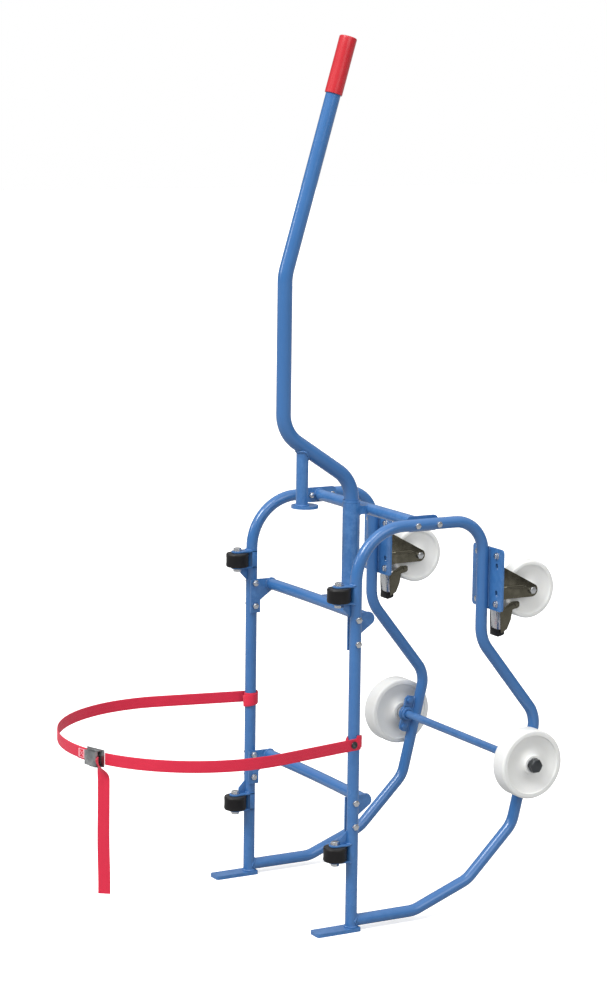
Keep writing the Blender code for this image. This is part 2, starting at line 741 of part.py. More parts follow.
def wheel_bush(name, side, finish):
    bm = bmesh.new()
    low, high = sorted((side * BUSH_IN, side * BUSH_OUT))
    turned(bm, ring_profile(AXLE_R + TOUCH, BUSH_R, low, high), axle_at(), "X", 16, hollow=True)
    return place(name, bm, finish, axle_at(side * BUSH_IN))


def wheel_profile(bore, hub, rim, radius, half, proud):
    """Closed outline of a moulded wheel: long hub, dished web, deep rim and rounded tread."""
    near = [
        (bore, half + proud), (hub, half + proud), (hub, half - WEB_DISH), (rim, half - WEB_DISH),
        (rim, half), (radius - TREAD_ROUND, half), (radius, half - TREAD_ROUND * 1.5),
    ]
    return near + [(r, -along) for r, along in reversed(near)]


def main_wheel(name, side, finish):
    bm = bmesh.new()
    at = axle_at(side * (WHEEL_IN + WHEEL_OUT) / 2)
    profile = wheel_profile(BUSH_R + RUN / 2, HUB_R, WHEEL_R - RIM_DEPTH, WHEEL_R, WHEEL_WIDTH / 2, HUB_PROUD)
    turned(bm, profile, at, "X", 28, hollow=True)
    return place(name, bm, finish, at)


def axle_nut(name, side, finish):
    """Hex nut with its washer face, bored to the axle."""
    x = side * (BUSH_OUT + TOUCH)
    bm = bmesh.new()
    outline = [(back(AXLE_SETBACK) + a, AXLE_Z + b) for a, b in hexagon(NUT_AF)]
    prism(bm, outline, x, x + side * NUT_T)
    nut = place(name, bm, finish, axle_at(x))
    drill(nut, finish, axle_at(x), AXLE_R + TOUCH, NUT_T * 2)
    return nut


# ---------------------------------------------------------------- casters

CASTER_Z = FRAME_TOP - CASTER_DROP
MOUNT_FRONT = REAR_SETBACK + FRAME_TUBE_R + TOUCH
MOUNT_BACK = MOUNT_FRONT + MOUNT_T
CASTER_FACE = MOUNT_BACK + TOUCH
CROWN_FRONT = CASTER_FACE + PLATE_T + HEAD_T + TOUCH
CROWN_BACK = CROWN_FRONT + CROWN_T
CASTER_AXLE = (CROWN_BACK + CASTER_GAP + CASTER_R, CASTER_Z - CASTER_TRAIL)


def caster_mount(name, side, finish):
    """Plate welded behind the rear upright, drilled for the caster's four bolts."""
    x = side * POST_X
    half_w, half_h = MOUNT_W / 2, MOUNT_H / 2
    corners = [(x - half_w, CASTER_Z - half_h), (x + half_w, CASTER_Z - half_h),
               (x + half_w, CASTER_Z + half_h), (x - half_w, CASTER_Z + half_h)]
    bm = bmesh.new()
    prism(bm, rounded_outline(corners, [0.008] * 4), back(MOUNT_FRONT), back(MOUNT_BACK), "Y")
    return place(name, bm, finish, (x, back(MOUNT_BACK), CASTER_Z))


def caster_top_plate(name, side, finish):
    """Bolted plate with its ball-race housing and the king pin that the fork hangs on."""
    x = side * POST_X
    half_w, half_h = PLATE_W / 2, PLATE_H / 2
    corners = [(x - half_w, CASTER_Z - half_h), (x + half_w, CASTER_Z - half_h),
               (x + half_w, CASTER_Z + half_h), (x - half_w, CASTER_Z + half_h)]
    bm = bmesh.new()
    prism(bm, rounded_outline(corners, [0.008] * 4), back(CASTER_FACE), back(CASTER_FACE + PLATE_T), "Y")
    plate = place(name, bm, finish, (x, back(CASTER_FACE), CASTER_Z))
    head = bmesh.new()
    start = PLATE_T / 2
    cap = CROWN_BACK - CASTER_FACE + TOUCH
    profile = [
        (HEAD_R + 0.002, start), (HEAD_R, PLATE_T + HEAD_T), (KING_PIN_R, PLATE_T + HEAD_T),
        (KING_PIN_R, cap), (KING_CAP_R, cap), (KING_CAP_R, cap + KING_CAP_T),
    ]
    turned(head, profile, (x, back(CASTER_FACE), CASTER_Z), "Y", 16)
    boolean(plate, place(f"{name}_head_tool", head, finish), "UNION")
    return plate


def caster_leg_outline():
    """Outline (y, z) of one leg: wide at the crown, running to a round nose at the wheel's axle."""
    axle = (back(CASTER_AXLE[0]), CASTER_AXLE[1])
    top = (back(CROWN_FRONT), CASTER_Z + CROWN_R)
    away = Vector((axle[0] - top[0], axle[1] - top[1]))
    lift = atan2(away.y, away.x) + acos(NOSE_R / away.length)
    outline = [top]
    outline += arc(axle, NOSE_R, lift, radians(-90), 5)
    outline += [(back(CROWN_BACK + 0.016), axle[1] - NOSE_R), (back(CROWN_FRONT), axle[1] - NOSE_R - CROWN_T)]
    return outline


def caster_fork(name, side, finish):
    """Crown disc and two legs, turning about the swivel axis."""
    x = side * POST_X
    at = (x, back(CROWN_FRONT), CASTER_Z)
    bm = bmesh.new()
    turned(bm, rod_profile(CROWN_R, 0, CROWN_T), at, "Y", 16)
    fork = place(name, bm, finish, at)
    for way in (1, -1):
        leg = bmesh.new()
        near = x + way * LEG_GAP
        prism(leg, caster_leg_outline(), near, near + way * LEG_T)
        boolean(fork, place(f"{name}_leg_tool", leg, finish), "UNION")
    bridge = bmesh.new()
    box(bridge, (x - LEG_GAP - LEG_T / 2, back(CROWN_FRONT) + 0.0002, CASTER_AXLE[1] - NOSE_R - 0.002),
        (x + LEG_GAP + LEG_T / 2, back(CROWN_BACK) - 0.0002, CASTER_Z + CROWN_R * 0.45))
    boolean(fork, place(f"{name}_bridge_tool", bridge, finish), "UNION")
    drill(fork, finish, at, KING_PIN_R + TOUCH, 0.02, "Y")
    drill(fork, finish, (x, back(CASTER_AXLE[0]), CASTER_AXLE[1]), CASTER_AXLE_R + TOUCH, 0.05)
    return fork


def caster_axle(name, side, finish, parent):
    x = side * POST_X
    face = LEG_GAP + LEG_T + TOUCH
    profile = [
        (PIN_HEAD_R, -face - PIN_HEAD_T), (PIN_HEAD_R, -face), (CASTER_AXLE_R, -face),
        (CASTER_AXLE_R, face), (PIN_HEAD_R, face), (PIN_HEAD_R, face + PIN_HEAD_T),
    ]
    bm = bmesh.new()
    at = (x, back(CASTER_AXLE[0]), CASTER_AXLE[1])
    turned(bm, profile, at, "X", 8)
    return place(name, bm, finish, at, parent)


def caster_wheel(name, side, finish, parent):
    at = (side * POST_X, back(CASTER_AXLE[0]), CASTER_AXLE[1])
    half = CASTER_WIDTH / 2
    proud = LEG_GAP - RUN - half
    bm = bmesh.new()
    profile = wheel_profile(CASTER_AXLE_R + RUN, CASTER_HUB_R, CASTER_R - RIM_DEPTH, CASTER_R, half, proud)
    turned(bm, profile, at, "X", 24, hollow=True)
    return place(name, bm, finish, at, parent)


def brake_spot(behind, below):
    return (back(CASTER_FACE + behind), CASTER_Z - below)


def caster_brake(name, side, finish, parent):
    """A pedal on two cheeks that swings about its rivets in the fork's legs."""
    x = side * POST_X
    pivot = brake_spot(*BRAKE_PIVOT)
    cheek = [
        brake_spot(BRAKE_PIVOT[0] + 0.007, BRAKE_PIVOT[1] - 0.004), brake_spot(BRAKE_PIVOT[0] + 0.002, BRAKE_PIVOT[1] + 0.018),
        brake_spot(0.036, 0.117), brake_spot(0.019, 0.121), brake_spot(0.017, 0.079),
        brake_spot(0.019, 0.069), brake_spot(BRAKE_PIVOT[0] - 0.006, BRAKE_PIVOT[1] - 0.007),
    ]
    inner = CASTER_WIDTH / 2 + 0.0012
    bm = bmesh.new()
    prism(bm, cheek, x + inner, x + inner + CHEEK_T)
    brake = place(name, bm, finish, (x, *pivot), parent)
    other = bmesh.new()
    prism(other, cheek, x - inner - CHEEK_T, x - inner)
    boolean(brake, place(f"{name}_cheek_tool", other, finish), "UNION")
    pedal = bmesh.new()
    tread = [brake_spot(0.0325, 0.109), brake_spot(0.033, 0.125), brake_spot(0.017, 0.128), brake_spot(0.0155, 0.092),
             brake_spot(0.0185, 0.084), brake_spot(0.022, 0.104)]
    prism(pedal, tread, x - inner - CHEEK_T / 2, x + inner + CHEEK_T / 2)
    boolean(brake, place(f"{name}_pedal_tool", pedal, finish), "UNION")
    return brake


# ---------------------------------------------------------------- strap

STRAP_LINE_R = DRUM_R + STRAP_SLACK + STRAP_T / 2
HITCH_R = FRAME_TUBE_R + STRAP_T / 2 + 0.0008
DRUM_CENTRE = (0.0, back(DRUM_SETBACK))
BUCKLE_TURN = BUCKLE_HALF / STRAP_LINE_R


def strap_end_angle():
    """Angle from +X, at the drum's axis, where the webbing leaves the drum for the post."""
    away = hypot(POST_X, -DRUM_SETBACK)
    return atan2(-DRUM_SETBACK, POST_X) - acos((STRAP_LINE_R - HITCH_R) / away)


def strap_line(buckle_side_angle):
    """Centre line (x, y) from the buckle round the right of the drum and round the right post.

    buckle_side_angle is measured at the drum's axis from straight ahead towards +X.
    """
    leave = strap_end_angle()
    first = buckle_side_angle - pi / 2
    pieces = max(8, round((leave - first) / radians(7)))
    line = arc(DRUM_CENTRE, STRAP_LINE_R, first, leave, pieces)
    line += arc((POST_X, back(0)), HITCH_R, leave, leave + HITCH_TURN, 14)
    return line


def webbing(line, thickness):
    """Closed outline (x, y) of a strip of webbing along its centre line."""
    left, right = [], []
    count = len(line)
    for i, (x, y) in enumerate(line):
        before, after = line[max(i - 1, 0)], line[min(i + 1, count - 1)]
        along = Vector((after[0] - before[0], after[1] - before[1])).normalized()
        off = Vector((-along.y, along.x)) * (thickness / 2)
        left.append((x + off.x, y + off.y))
        right.append((x - off.x, y - off.y))
    return left + right[::-1]


def strap(name, line, finish):
    """Flat webbing standing on edge round the drum, skinned between its two edge rows."""
    bm = bmesh.new()
    outline = webbing(line, STRAP_T)
    count = len(line)
    low, high = STRAP_Z - STRAP_W / 2, STRAP_Z + STRAP_W / 2
    rings = []
    for i in range(count):
        outer, inner = outline[i], outline[-1 - i]
        rings.append([(*outer, low), (*outer, high), (*inner, high), (*inner, low)])
    loft(bm, rings)
    return place(name, bm, finish, (*line[0], STRAP_Z))


def at_buckle(along, out, angle=BUCKLE_ANGLE):
    """World (x, y) of a place given along the webbing and outwards from the drum's axis."""
    centre_x, centre_y = DRUM_CENTRE
    return (centre_x + out * sin(angle) + along * cos(angle), centre_y - out * cos(angle) + along * sin(angle))


BUCKLE_BACK = DRUM_R + 0.0012
PIN_AT = (0.008, BUCKLE_BACK + BUCKLE_BASE_T + 0.0075)


def buckle_frame(name, finish):
    """Base plate with two cheeks that carry the cam's pin."""
    half = BUCKLE_HEIGHT / 2
    base = [(-BUCKLE_HALF + 0.0004, BUCKLE_BACK), (BUCKLE_HALF - 0.0004, BUCKLE_BACK),
            (BUCKLE_HALF - 0.0004, BUCKLE_BACK + BUCKLE_BASE_T), (-BUCKLE_HALF + 0.0004, BUCKLE_BACK + BUCKLE_BASE_T)]
    bm = bmesh.new()
    prism(bm, [at_buckle(*p) for p in base], STRAP_Z - half, STRAP_Z + half, "Z")
    frame = place(name, bm, finish, (*at_buckle(*PIN_AT), STRAP_Z))
    low, high = BUCKLE_BACK + 0.0005, BUCKLE_BACK + BUCKLE_DEPTH
    cheek = [(-0.020, low), (0.020, low), (0.019, high - 0.003), (0.012, high), (-0.004, high), (-0.020, low + 0.006)]
    for way in (1, -1):
        side = bmesh.new()
        prism(side, [at_buckle(*p) for p in cheek], STRAP_Z + way * half, STRAP_Z + way * (half - BUCKLE_CHEEK_T), "Z")
        boolean(frame, place(f"{name}_cheek_tool", side, finish), "UNION")
    drill(frame, finish, (*at_buckle(*PIN_AT), STRAP_Z), BUCKLE_PIN_R + TOUCH, 0.03, "Z")
    return frame


def buckle_pin(name, finish):
    bm = bmesh.new()
    half = BUCKLE_HEIGHT / 2 + 0.001
    turned(bm, rod_profile(BUCKLE_PIN_R, -half, half), (*at_buckle(*PIN_AT), STRAP_Z), "Z", 12)
    return place(name, bm, finish, (*at_buckle(*PIN_AT), STRAP_Z))


def buckle_lever(name, finish):
    """Cam round the pin and the thumb lever that lies over the buckle."""
    pin_along, pin_out = PIN_AT
    half = BUCKLE_HEIGHT / 2 - BUCKLE_CHEEK_T - 0.0006
    outline = arc(PIN_AT, 0.0058, radians(-110), radians(75), 8)
    outline += [(pin_along - 0.010, pin_out + 0.0078), (pin_along - 0.026, pin_out + 0.0062),
                (pin_along - 0.027, pin_out + 0.0062 - LEVER_T), (pin_along - 0.010, pin_out + 0.0078 - LEVER_T),
                (pin_along - 0.0055, pin_out + 0.002)]
    bm = bmesh.new()
    prism(bm, [at_buckle(*p) for p in outline], STRAP_Z - half, STRAP_Z + half, "Z")
    lever = place(name, bm, finish, (*at_buckle(*PIN_AT), STRAP_Z))
    drill(lever, finish, (*at_buckle(*PIN_AT), STRAP_Z), BUCKLE_PIN_R + RUN / 2, 0.03, "Z")
    return lever


def strap_tail(name, finish):
    """The spare webbing hanging from the buckle."""
    out = DRUM_R + 0.0030
    corners = [(-STRAP_W / 2, out), (STRAP_W / 2, out), (STRAP_W / 2, out + STRAP_T), (-STRAP_W / 2, out + STRAP_T)]
    top = STRAP_Z - BUCKLE_HEIGHT / 2 - TOUCH
    bm = bmesh.new()
    prism(bm, [at_buckle(*p, angle=TAIL_ANGLE) for p in corners], top - TAIL_LENGTH, top, "Z")
    return place(name, bm, finish, (*at_buckle(0, out, TAIL_ANGLE), top))


# ---------------------------------------------------------------- the whole dolly

def build_frame(blue):
    for word, side in SIDES:
        side_frame(f"side_frame_{word}", side, blue)
        toe_plate(f"toe_plate_{word}", side, blue)
        caster_mount(f"caster_mount_{word}", side, blue)
        axle_bracket(f"axle_bracket_{word}", side, blue)
    bowed_bar("crossbar_lower", BAR_LOW_Z, blue)
    upper = bowed_bar("crossbar_upper", BAR_HIGH_Z, blue)
    mast_link(upper, bar_path_y(0), BAR_HIGH_Z, blue)
    top = top_bar("crossbar_top", blue)
    mast_link(top, TOP_BAR_SETBACK, FRAME_TOP, blue)


def build_mast(blue, red):
    mast_sleeve("mast_sleeve", blue)
    guide_bush("guide_bush", blue)
    handle = handle_tube("handle_tube", blue)
    hook_post("hook_post", blue, handle)
    hook_plate("hook_plate", blue, handle)
    handle_grip("handle_grip", red, handle)


def build_rollers(blue, zinc, rubber):
    for word, side in SIDES:
        for level, z, rib_way in (("upper", ROLLER_HIGH_Z, -1), ("lower", ROLLER_LOW_Z, 1)):
            roller_bracket(f"roller_bracket_{level}_{word}", side, z, rib_way, blue)
            roller(f"roller_{level}_{word}", side, z, rubber)
            roller_bolt(f"roller_bolt_{level}_{word}", side, z, zinc)


def build_wheels(blue, zinc, dark, white):
    main_axle("main_axle", blue)
    for word, side in SIDES:
        wheel_bush(f"wheel_bush_{word}", side, zinc)
        main_wheel(f"main_wheel_{word}", side, white)
        axle_nut(f"axle_nut_{word}", side, dark)


def build_casters(zinc, dark, white):
    for word, side in SIDES:
        caster_top_plate(f"caster_top_plate_{word}", side, zinc)
        fork = caster_fork(f"caster_fork_{word}", side, dark)
        caster_axle(f"caster_axle_{word}", side, zinc, fork)
        caster_wheel(f"caster_wheel_{word}", side, white, fork)
        caster_brake(f"caster_brake_{word}", side, zinc, fork)


def build_strap(red, zinc):
    right = strap_line(BUCKLE_ANGLE + BUCKLE_TURN)
    left = [(-x, y) for x, y in strap_line(-(BUCKLE_ANGLE - BUCKLE_TURN))]
    strap("strap_right", right, red)
    strap("strap_left", left, red)
    strap_tail("strap_tail", red)
    buckle_frame("buckle_frame", zinc)
    buckle_pin("buckle_pin", zinc)
    buckle_lever("buckle_lever", zinc)


def build_bolts(zinc):
    """The bolts that hold the lower and upper crossbars' lugs to the posts."""
    outer_face = POST_X + FRAME_FLAT_R + TOUCH
    grip_length = outer_face - (LUG_FACE_X - LUG_T) + TOUCH
    for word, side in SIDES:
        outer = side * outer_face
        for level, bar_z in (("lower", BAR_LOW_Z), ("upper", BAR_HIGH_Z)):
            for n, z in ((1, bar_z + BOLT_UP), (2, bar_z - BOLT_DOWN)):
                bolt(f"crossbar_bolt_{level}_{word}_{n}", (outer, back(0), z), zinc, side, grip_length)


def main():
    clear_scene()
    blue = material("blue_enamel", (0.045, 0.16, 0.44), 0.25)
    red_grip = material("red_grip", (0.62, 0.015, 0.03), 0.45)
    red_webbing = material("red_webbing", (0.66, 0.02, 0.05), 0.8)
    zinc = material("zinc_plate", (0.62, 0.62, 0.60), 0.3, 1.0)
    dark = material("dark_steel", (0.16, 0.15, 0.13), 0.35, 1.0)
    white = material("white_polyamide", (0.83, 0.81, 0.76), 0.45)
    rubber = material("black_rubber", (0.015, 0.015, 0.017), 0.6)
    build_frame(blue)
    build_mast(blue, red_grip)
    build_rollers(blue, zinc, rubber)
    build_wheels(blue, zinc, dark, white)
    build_casters(zinc, dark, white)
    build_strap(red_webbing, zinc)
    build_bolts(zinc)


main()
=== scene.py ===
import json
from math import acos, atan2, cos, pi, radians, sin, sqrt, tan

import bmesh
import bpy
from mathutils import Matrix, Vector, noise

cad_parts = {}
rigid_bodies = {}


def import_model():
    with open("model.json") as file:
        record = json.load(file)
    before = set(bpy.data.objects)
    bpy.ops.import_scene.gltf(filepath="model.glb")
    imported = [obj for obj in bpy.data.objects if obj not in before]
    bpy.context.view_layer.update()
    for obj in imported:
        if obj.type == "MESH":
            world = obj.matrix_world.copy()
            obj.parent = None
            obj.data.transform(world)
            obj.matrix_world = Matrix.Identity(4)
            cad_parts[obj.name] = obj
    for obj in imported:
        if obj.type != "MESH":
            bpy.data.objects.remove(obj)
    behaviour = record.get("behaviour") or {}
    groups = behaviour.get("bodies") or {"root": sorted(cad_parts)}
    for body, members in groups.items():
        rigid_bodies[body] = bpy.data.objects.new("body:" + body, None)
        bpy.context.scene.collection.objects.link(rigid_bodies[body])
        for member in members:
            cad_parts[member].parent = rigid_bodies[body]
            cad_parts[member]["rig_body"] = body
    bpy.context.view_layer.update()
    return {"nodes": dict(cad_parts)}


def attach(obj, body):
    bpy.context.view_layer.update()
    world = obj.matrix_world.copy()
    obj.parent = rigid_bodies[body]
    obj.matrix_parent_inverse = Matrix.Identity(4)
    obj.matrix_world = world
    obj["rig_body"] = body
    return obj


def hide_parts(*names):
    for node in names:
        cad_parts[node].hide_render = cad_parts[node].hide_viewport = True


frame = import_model()
print("frame loaded")

sides = (("Right", "right", 1), ("Left", "left", -1))
acrossX, acrossY, upZ = Vector((1, 0, 0)), Vector((0, 1, 0)), Vector((0, 0, 1))


# camera: long lens, a little above the object, on its front right
cameraRig = {
    "place": (4.9582, -2.7518, 1.7980),
    "azimuth": 1.05890502,
    "pitch": 0.15951325,
    "roll": 0.01281343,
    "lens": 97.58,
    "film": 36.0,
}


def makeCamera(rig):
    lens = bpy.data.cameras.new("camera")
    lens.sensor_fit = "VERTICAL"
    lens.sensor_height = rig["film"]
    lens.sensor_width = rig["film"]
    lens.lens = rig["lens"]
    lens.clip_end = 100
    camera = bpy.data.objects.new("camera", lens)
    bpy.context.scene.collection.objects.link(camera)
    a, p, r = rig["azimuth"], rig["pitch"], rig["roll"]
    right = Vector((cos(a), sin(a), 0))
    ahead = Vector((-sin(a) * cos(p), cos(a) * cos(p), -sin(p)))
    up = right.cross(ahead)
    level = right * cos(r) + up * sin(r)
    upright = up * cos(r) - right * sin(r)
    turned = Matrix((level, upright, -ahead)).transposed().to_4x4()
    camera.matrix_world = Matrix.Translation(rig["place"]) @ turned
    bpy.context.scene.camera = camera


makeCamera(cameraRig)


# shader groups

def newGroup(name, inputs, outputs):
    group = bpy.data.node_groups.new(name, "ShaderNodeTree")
    for label, kind, value in inputs:
        socket = group.interface.new_socket(label, in_out="INPUT", socket_type="NodeSocket" + kind)
        if value is not None:
            socket.default_value = value
    for label, kind in outputs:
        group.interface.new_socket(label, in_out="OUTPUT", socket_type="NodeSocket" + kind)
    return group, group.nodes.new("NodeGroupInput"), group.nodes.new("NodeGroupOutput")


def feed(tree, *pairs):
    for source, target in pairs:
        tree.links.new(source, target)


def mathNode(tree, operation, first, second=None, third=None, clamp=False):
    node = tree.nodes.new("ShaderNodeMath")
    node.operation = operation
    node.use_clamp = clamp
    for socket, value in zip(node.inputs, (first, second, third)):
        if value is None:
            continue
        if isinstance(value, (int, float)):
            socket.default_value = value
        else:
            tree.links.new(value, socket)
    return node.outputs[0]


def mixColour(tree, factor, first, second):
    node = tree.nodes.new("ShaderNodeMix")
    node.data_type = "RGBA"
    for socket, value in ((node.inputs["Factor"], factor), (node.inputs[6], first), (node.inputs[7], second)):
        if isinstance(value, (int, float)):
            socket.default_value = value
        elif isinstance(value, tuple):
            socket.default_value = (*value, 1)
        else:
            tree.links.new(value, socket)
    return node.outputs[2]


def noiseNode(tree, vector, scale, detail=4.0, rough=0.5):
    node = tree.nodes.new("ShaderNodeTexNoise")
    node.inputs["Detail"].default_value = detail
    node.inputs["Roughness"].default_value = rough
    if isinstance(scale, (int, float)):
        node.inputs["Scale"].default_value = scale
    else:
        tree.links.new(scale, node.inputs["Scale"])
    tree.links.new(vector, node.inputs["Vector"])
    return node.outputs["Fac"]


def makeGrain():
    # fine unevenness of a surface: a height for bump and a slow change of tone
    inputs = [("Scale", "Float", 300.0), ("Patch", "Float", 12.0)]
    group, given, made = newGroup("grain", inputs, [("Height", "Float"), ("Tone", "Float")])
    where = group.nodes.new("ShaderNodeTexCoord").outputs["Object"]
    fine = noiseNode(group, where, given.outputs["Scale"], 3.0)
    slow = noiseNode(group, where, given.outputs["Patch"], 3.0)
    feed(group, (fine, made.inputs["Height"]), (slow, made.inputs["Tone"]))
    return group


def makeEdgeWear():
    # worn or thin finish on outer edges, broken up by noise
    inputs = [("Amount", "Float", 0.5), ("Scale", "Float", 60.0)]
    group, given, made = newGroup("edgeWear", inputs, [("Mask", "Float")])
    where = group.nodes.new("ShaderNodeTexCoord").outputs["Object"]
    edge = group.nodes.new("ShaderNodeNewGeometry").outputs["Pointiness"]
    sharp = mathNode(group, "MULTIPLY", mathNode(group, "SUBTRACT", edge, 0.52), 9.0, clamp=True)
    broken = noiseNode(group, where, given.outputs["Scale"], 5.0, 0.65)
    patchy = mathNode(group, "MULTIPLY", mathNode(group, "SUBTRACT", broken, 0.42), 5.0, clamp=True)
    worn = mathNode(group, "MULTIPLY", sharp, patchy)
    feed(group, (mathNode(group, "MULTIPLY", worn, given.outputs["Amount"]), made.inputs["Mask"]))
    return group


def makeDust():
    # light dust that lies where a surface faces up
    inputs = [("Amount", "Float", 0.15), ("Scale", "Float", 30.0)]
    group, given, made = newGroup("dust", inputs, [("Mask", "Float")])
    where = group.nodes.new("ShaderNodeTexCoord").outputs["Object"]
    split = group.nodes.new("ShaderNodeSeparateXYZ")
    feed(group, (group.nodes.new("ShaderNodeNewGeometry").outputs["Normal"], split.inputs[0]))
    facing = mathNode(group, "MULTIPLY", mathNode(group, "SUBTRACT", split.outputs["Z"], 0.3), 1.4, clamp=True)
    cloud = noiseNode(group, where, given.outputs["Scale"], 4.0, 0.6)
    lying = mathNode(group, "MULTIPLY", facing, cloud)
    feed(group, (mathNode(group, "MULTIPLY", lying, given.outputs["Amount"]), made.inputs["Mask"]))
    return group


def makeWeave():
    # herringbone twill of flat webbing, from lengths in metres along and across it; it also gives a mask of painted
    # shade for its low places
    inputs = [("Pitch", "Float", 0.0013), ("Rib", "Float", 0.0042)]
    group, given, made = newGroup("weave", inputs, [("Height", "Float"), ("GrooveShade", "Float")])
    split = group.nodes.new("ShaderNodeSeparateXYZ")
    feed(group, (group.nodes.new("ShaderNodeTexCoord").outputs["UV"], split.inputs[0]))
    along, across = split.outputs["X"], split.outputs["Y"]
    zigzag = mathNode(group, "PINGPONG", across, given.outputs["Rib"])
    slanted = mathNode(group, "DIVIDE", mathNode(group, "ADD", along, zigzag), given.outputs["Pitch"])
    thread = mathNode(group, "SINE", mathNode(group, "MULTIPLY", slanted, 2 * pi))
    warp = mathNode(group, "SINE",
        mathNode(group, "MULTIPLY", mathNode(group, "DIVIDE", across, given.outputs["Pitch"]), pi))
    height = mathNode(group, "MULTIPLY_ADD", thread, 0.4, mathNode(group, "MULTIPLY_ADD", warp, 0.1, 0.5))
    # painted shade: the lower the weave, the more it is darkened, as if shade fell between the threads
    grooveShade = mathNode(group, "SUBTRACT", 0.45, height, clamp=True)
    feed(group, (height, made.inputs["Height"]), (grooveShade, made.inputs["GrooveShade"]))
    return group


grainGroup, wearGroup, dustGroup, weaveGroup = makeGrain(), makeEdgeWear(), makeDust(), makeWeave()


# finishes

finishLook = {
    "blueEnamel": {
        "slot": "blue_enamel", "colour": (0.034, 0.135, 0.355), "second": (0.046, 0.162, 0.405), "rough": 0.26,
        "roughSpread": 0.08, "grain": 420.0, "patch": 9.0, "bump": 0.10, "depth": 0.0004, "coat": 0.35,
        "coatRough": 0.06,
        "worn": (0.10, 0.26, 0.56), "wear": 0.4, "dust": 0.03,
    },
    "gripRed": {
        "slot": "red_grip", "colour": (0.50, 0.012, 0.022), "second": (0.57, 0.017, 0.028), "rough": 0.33,
        "roughSpread": 0.12, "grain": 900.0, "patch": 25.0, "bump": 0.10, "depth": 0.0003, "coat": 0.25,
        "coatRough": 0.2,
        "worn": (0.80, 0.06, 0.07), "wear": 0.3, "dust": 0.04,
    },
    "zinc": {
        "slot": "zinc_plate", "colour": (0.66, 0.67, 0.68), "second": (0.52, 0.54, 0.57), "rough": 0.26,
        "roughSpread": 0.16, "grain": 700.0, "patch": 60.0, "bump": 0.12, "depth": 0.0002, "metal": 1.0,
        "worn": (0.82, 0.82, 0.82), "wear": 0.7, "dust": 0.04,
    },
    "dullZinc": {
        "slot": "zinc_plate", "colour": (0.34, 0.35, 0.36), "second": (0.22, 0.23, 0.24), "rough": 0.36,
        "roughSpread": 0.16, "grain": 700.0, "patch": 90.0, "bump": 0.15, "depth": 0.0002, "metal": 1.0,
        "worn": (0.66, 0.66, 0.66), "wear": 0.8, "dust": 0.04,
    },
    "yellowZinc": {
        "slot": "yellow_zinc", "colour": (0.100, 0.094, 0.070), "second": (0.150, 0.140, 0.105), "rough": 0.24,
        "roughSpread": 0.18, "grain": 600.0, "patch": 45.0, "bump": 0.12, "depth": 0.0002, "metal": 1.0,
        "worn": (0.46, 0.43, 0.34), "wear": 0.6, "dust": 0.04,
    },
    "darkSteel": {
        "slot": "dark_steel", "colour": (0.060, 0.066, 0.072), "second": (0.095, 0.100, 0.105), "rough": 0.34,
        "roughSpread": 0.14, "grain": 800.0, "patch": 70.0, "bump": 0.15, "depth": 0.0002, "metal": 1.0,
        "worn": (0.42, 0.42, 0.42), "wear": 0.7, "dust": 0.03,
    },
    "polyamide": {
        "slot": "white_polyamide", "colour": (0.75, 0.76, 0.74), "second": (0.80, 0.80, 0.79), "rough": 0.38,
        "roughSpread": 0.10, "grain": 500.0, "patch": 14.0, "bump": 0.08, "depth": 0.0003, "glow": 0.18,
        "worn": (0.70, 0.69, 0.66), "wear": 0.3, "dust": 0.05,
    },
    "rubber": {
        "slot": "black_rubber", "colour": (0.005, 0.005, 0.006), "second": (0.010, 0.009, 0.009), "rough": 0.42,
        "gloss": 0.25,
        "roughSpread": 0.15, "grain": 900.0, "patch": 40.0, "bump": 0.20, "depth": 0.0003,
        "worn": (0.045, 0.044, 0.043), "wear": 0.5, "dust": 0.06,
    },
}
# the groove colour is a painted shade for the low places of the weave
webbingLook = {
    "slot": "red_webbing", "colour": (0.74, 0.010, 0.052), "grooveShade": (0.50, 0.005, 0.030),
    "faded": (0.78, 0.022, 0.075),
    "rough": 0.72, "sheen": 0.12, "bump": 0.55, "depth": 0.0004,
}
threadLook = {"slot": "red_webbing", "colour": (0.86, 0.34, 0.40), "second": (0.93, 0.52, 0.56), "rough": 0.7,
    "twist": 2600.0}


def newMaterial(name):
    made = bpy.data.materials.new(name)
    made.use_nodes = True
    return made, made.node_tree, made.node_tree.nodes["Principled BSDF"]


def placeGroup(tree, group, **values):
    node = tree.nodes.new("ShaderNodeGroup")
    node.node_tree = group
    for label, value in values.items():
        node.inputs[label].default_value = value
    return node


def hardFinish(name, look):
    made, tree, shader = newMaterial(name)
    grain = placeGroup(tree, grainGroup, Scale=look["grain"], Patch=look["patch"])
    wear = placeGroup(tree, wearGroup, Amount=look["wear"])
    dust = placeGroup(tree, dustGroup, Amount=look["dust"])
    plain = mixColour(tree, grain.outputs["Tone"], look["colour"], look["second"])
    worn = mixColour(tree, wear.outputs["Mask"], plain, look["worn"])
    dusty = mixColour(tree, dust.outputs["Mask"], worn, (0.62, 0.61, 0.58))
    rough = mathNode(tree, "MULTIPLY_ADD", grain.outputs["Tone"], look["roughSpread"],
        look["rough"] - look["roughSpread"] / 2)
    bump = tree.nodes.new("ShaderNodeBump")
    bump.inputs["Strength"].default_value = look["bump"]
    bump.inputs["Distance"].default_value = look["depth"]
    feed(
        tree, (dusty, shader.inputs["Base Color"]), (rough, shader.inputs["Roughness"]),
        (grain.outputs["Height"], bump.inputs["Height"]), (bump.outputs["Normal"], shader.inputs["Normal"]),
    )
    shader.inputs["Metallic"].default_value = look.get("metal", 0.0)
    shader.inputs["Specular IOR Level"].default_value = look.get("gloss", 0.5)
    shader.inputs["Coat Weight"].default_value = look.get("coat", 0.0)
    shader.inputs["Coat Roughness"].default_value = look.get("coatRough", 0.1)
    shader.inputs["Subsurface Weight"].default_value = look.get("glow", 0.0)
    shader.inputs["Subsurface Radius"].default_value = (0.012, 0.011, 0.009)
    return {"material": made, "slot": look["slot"]}


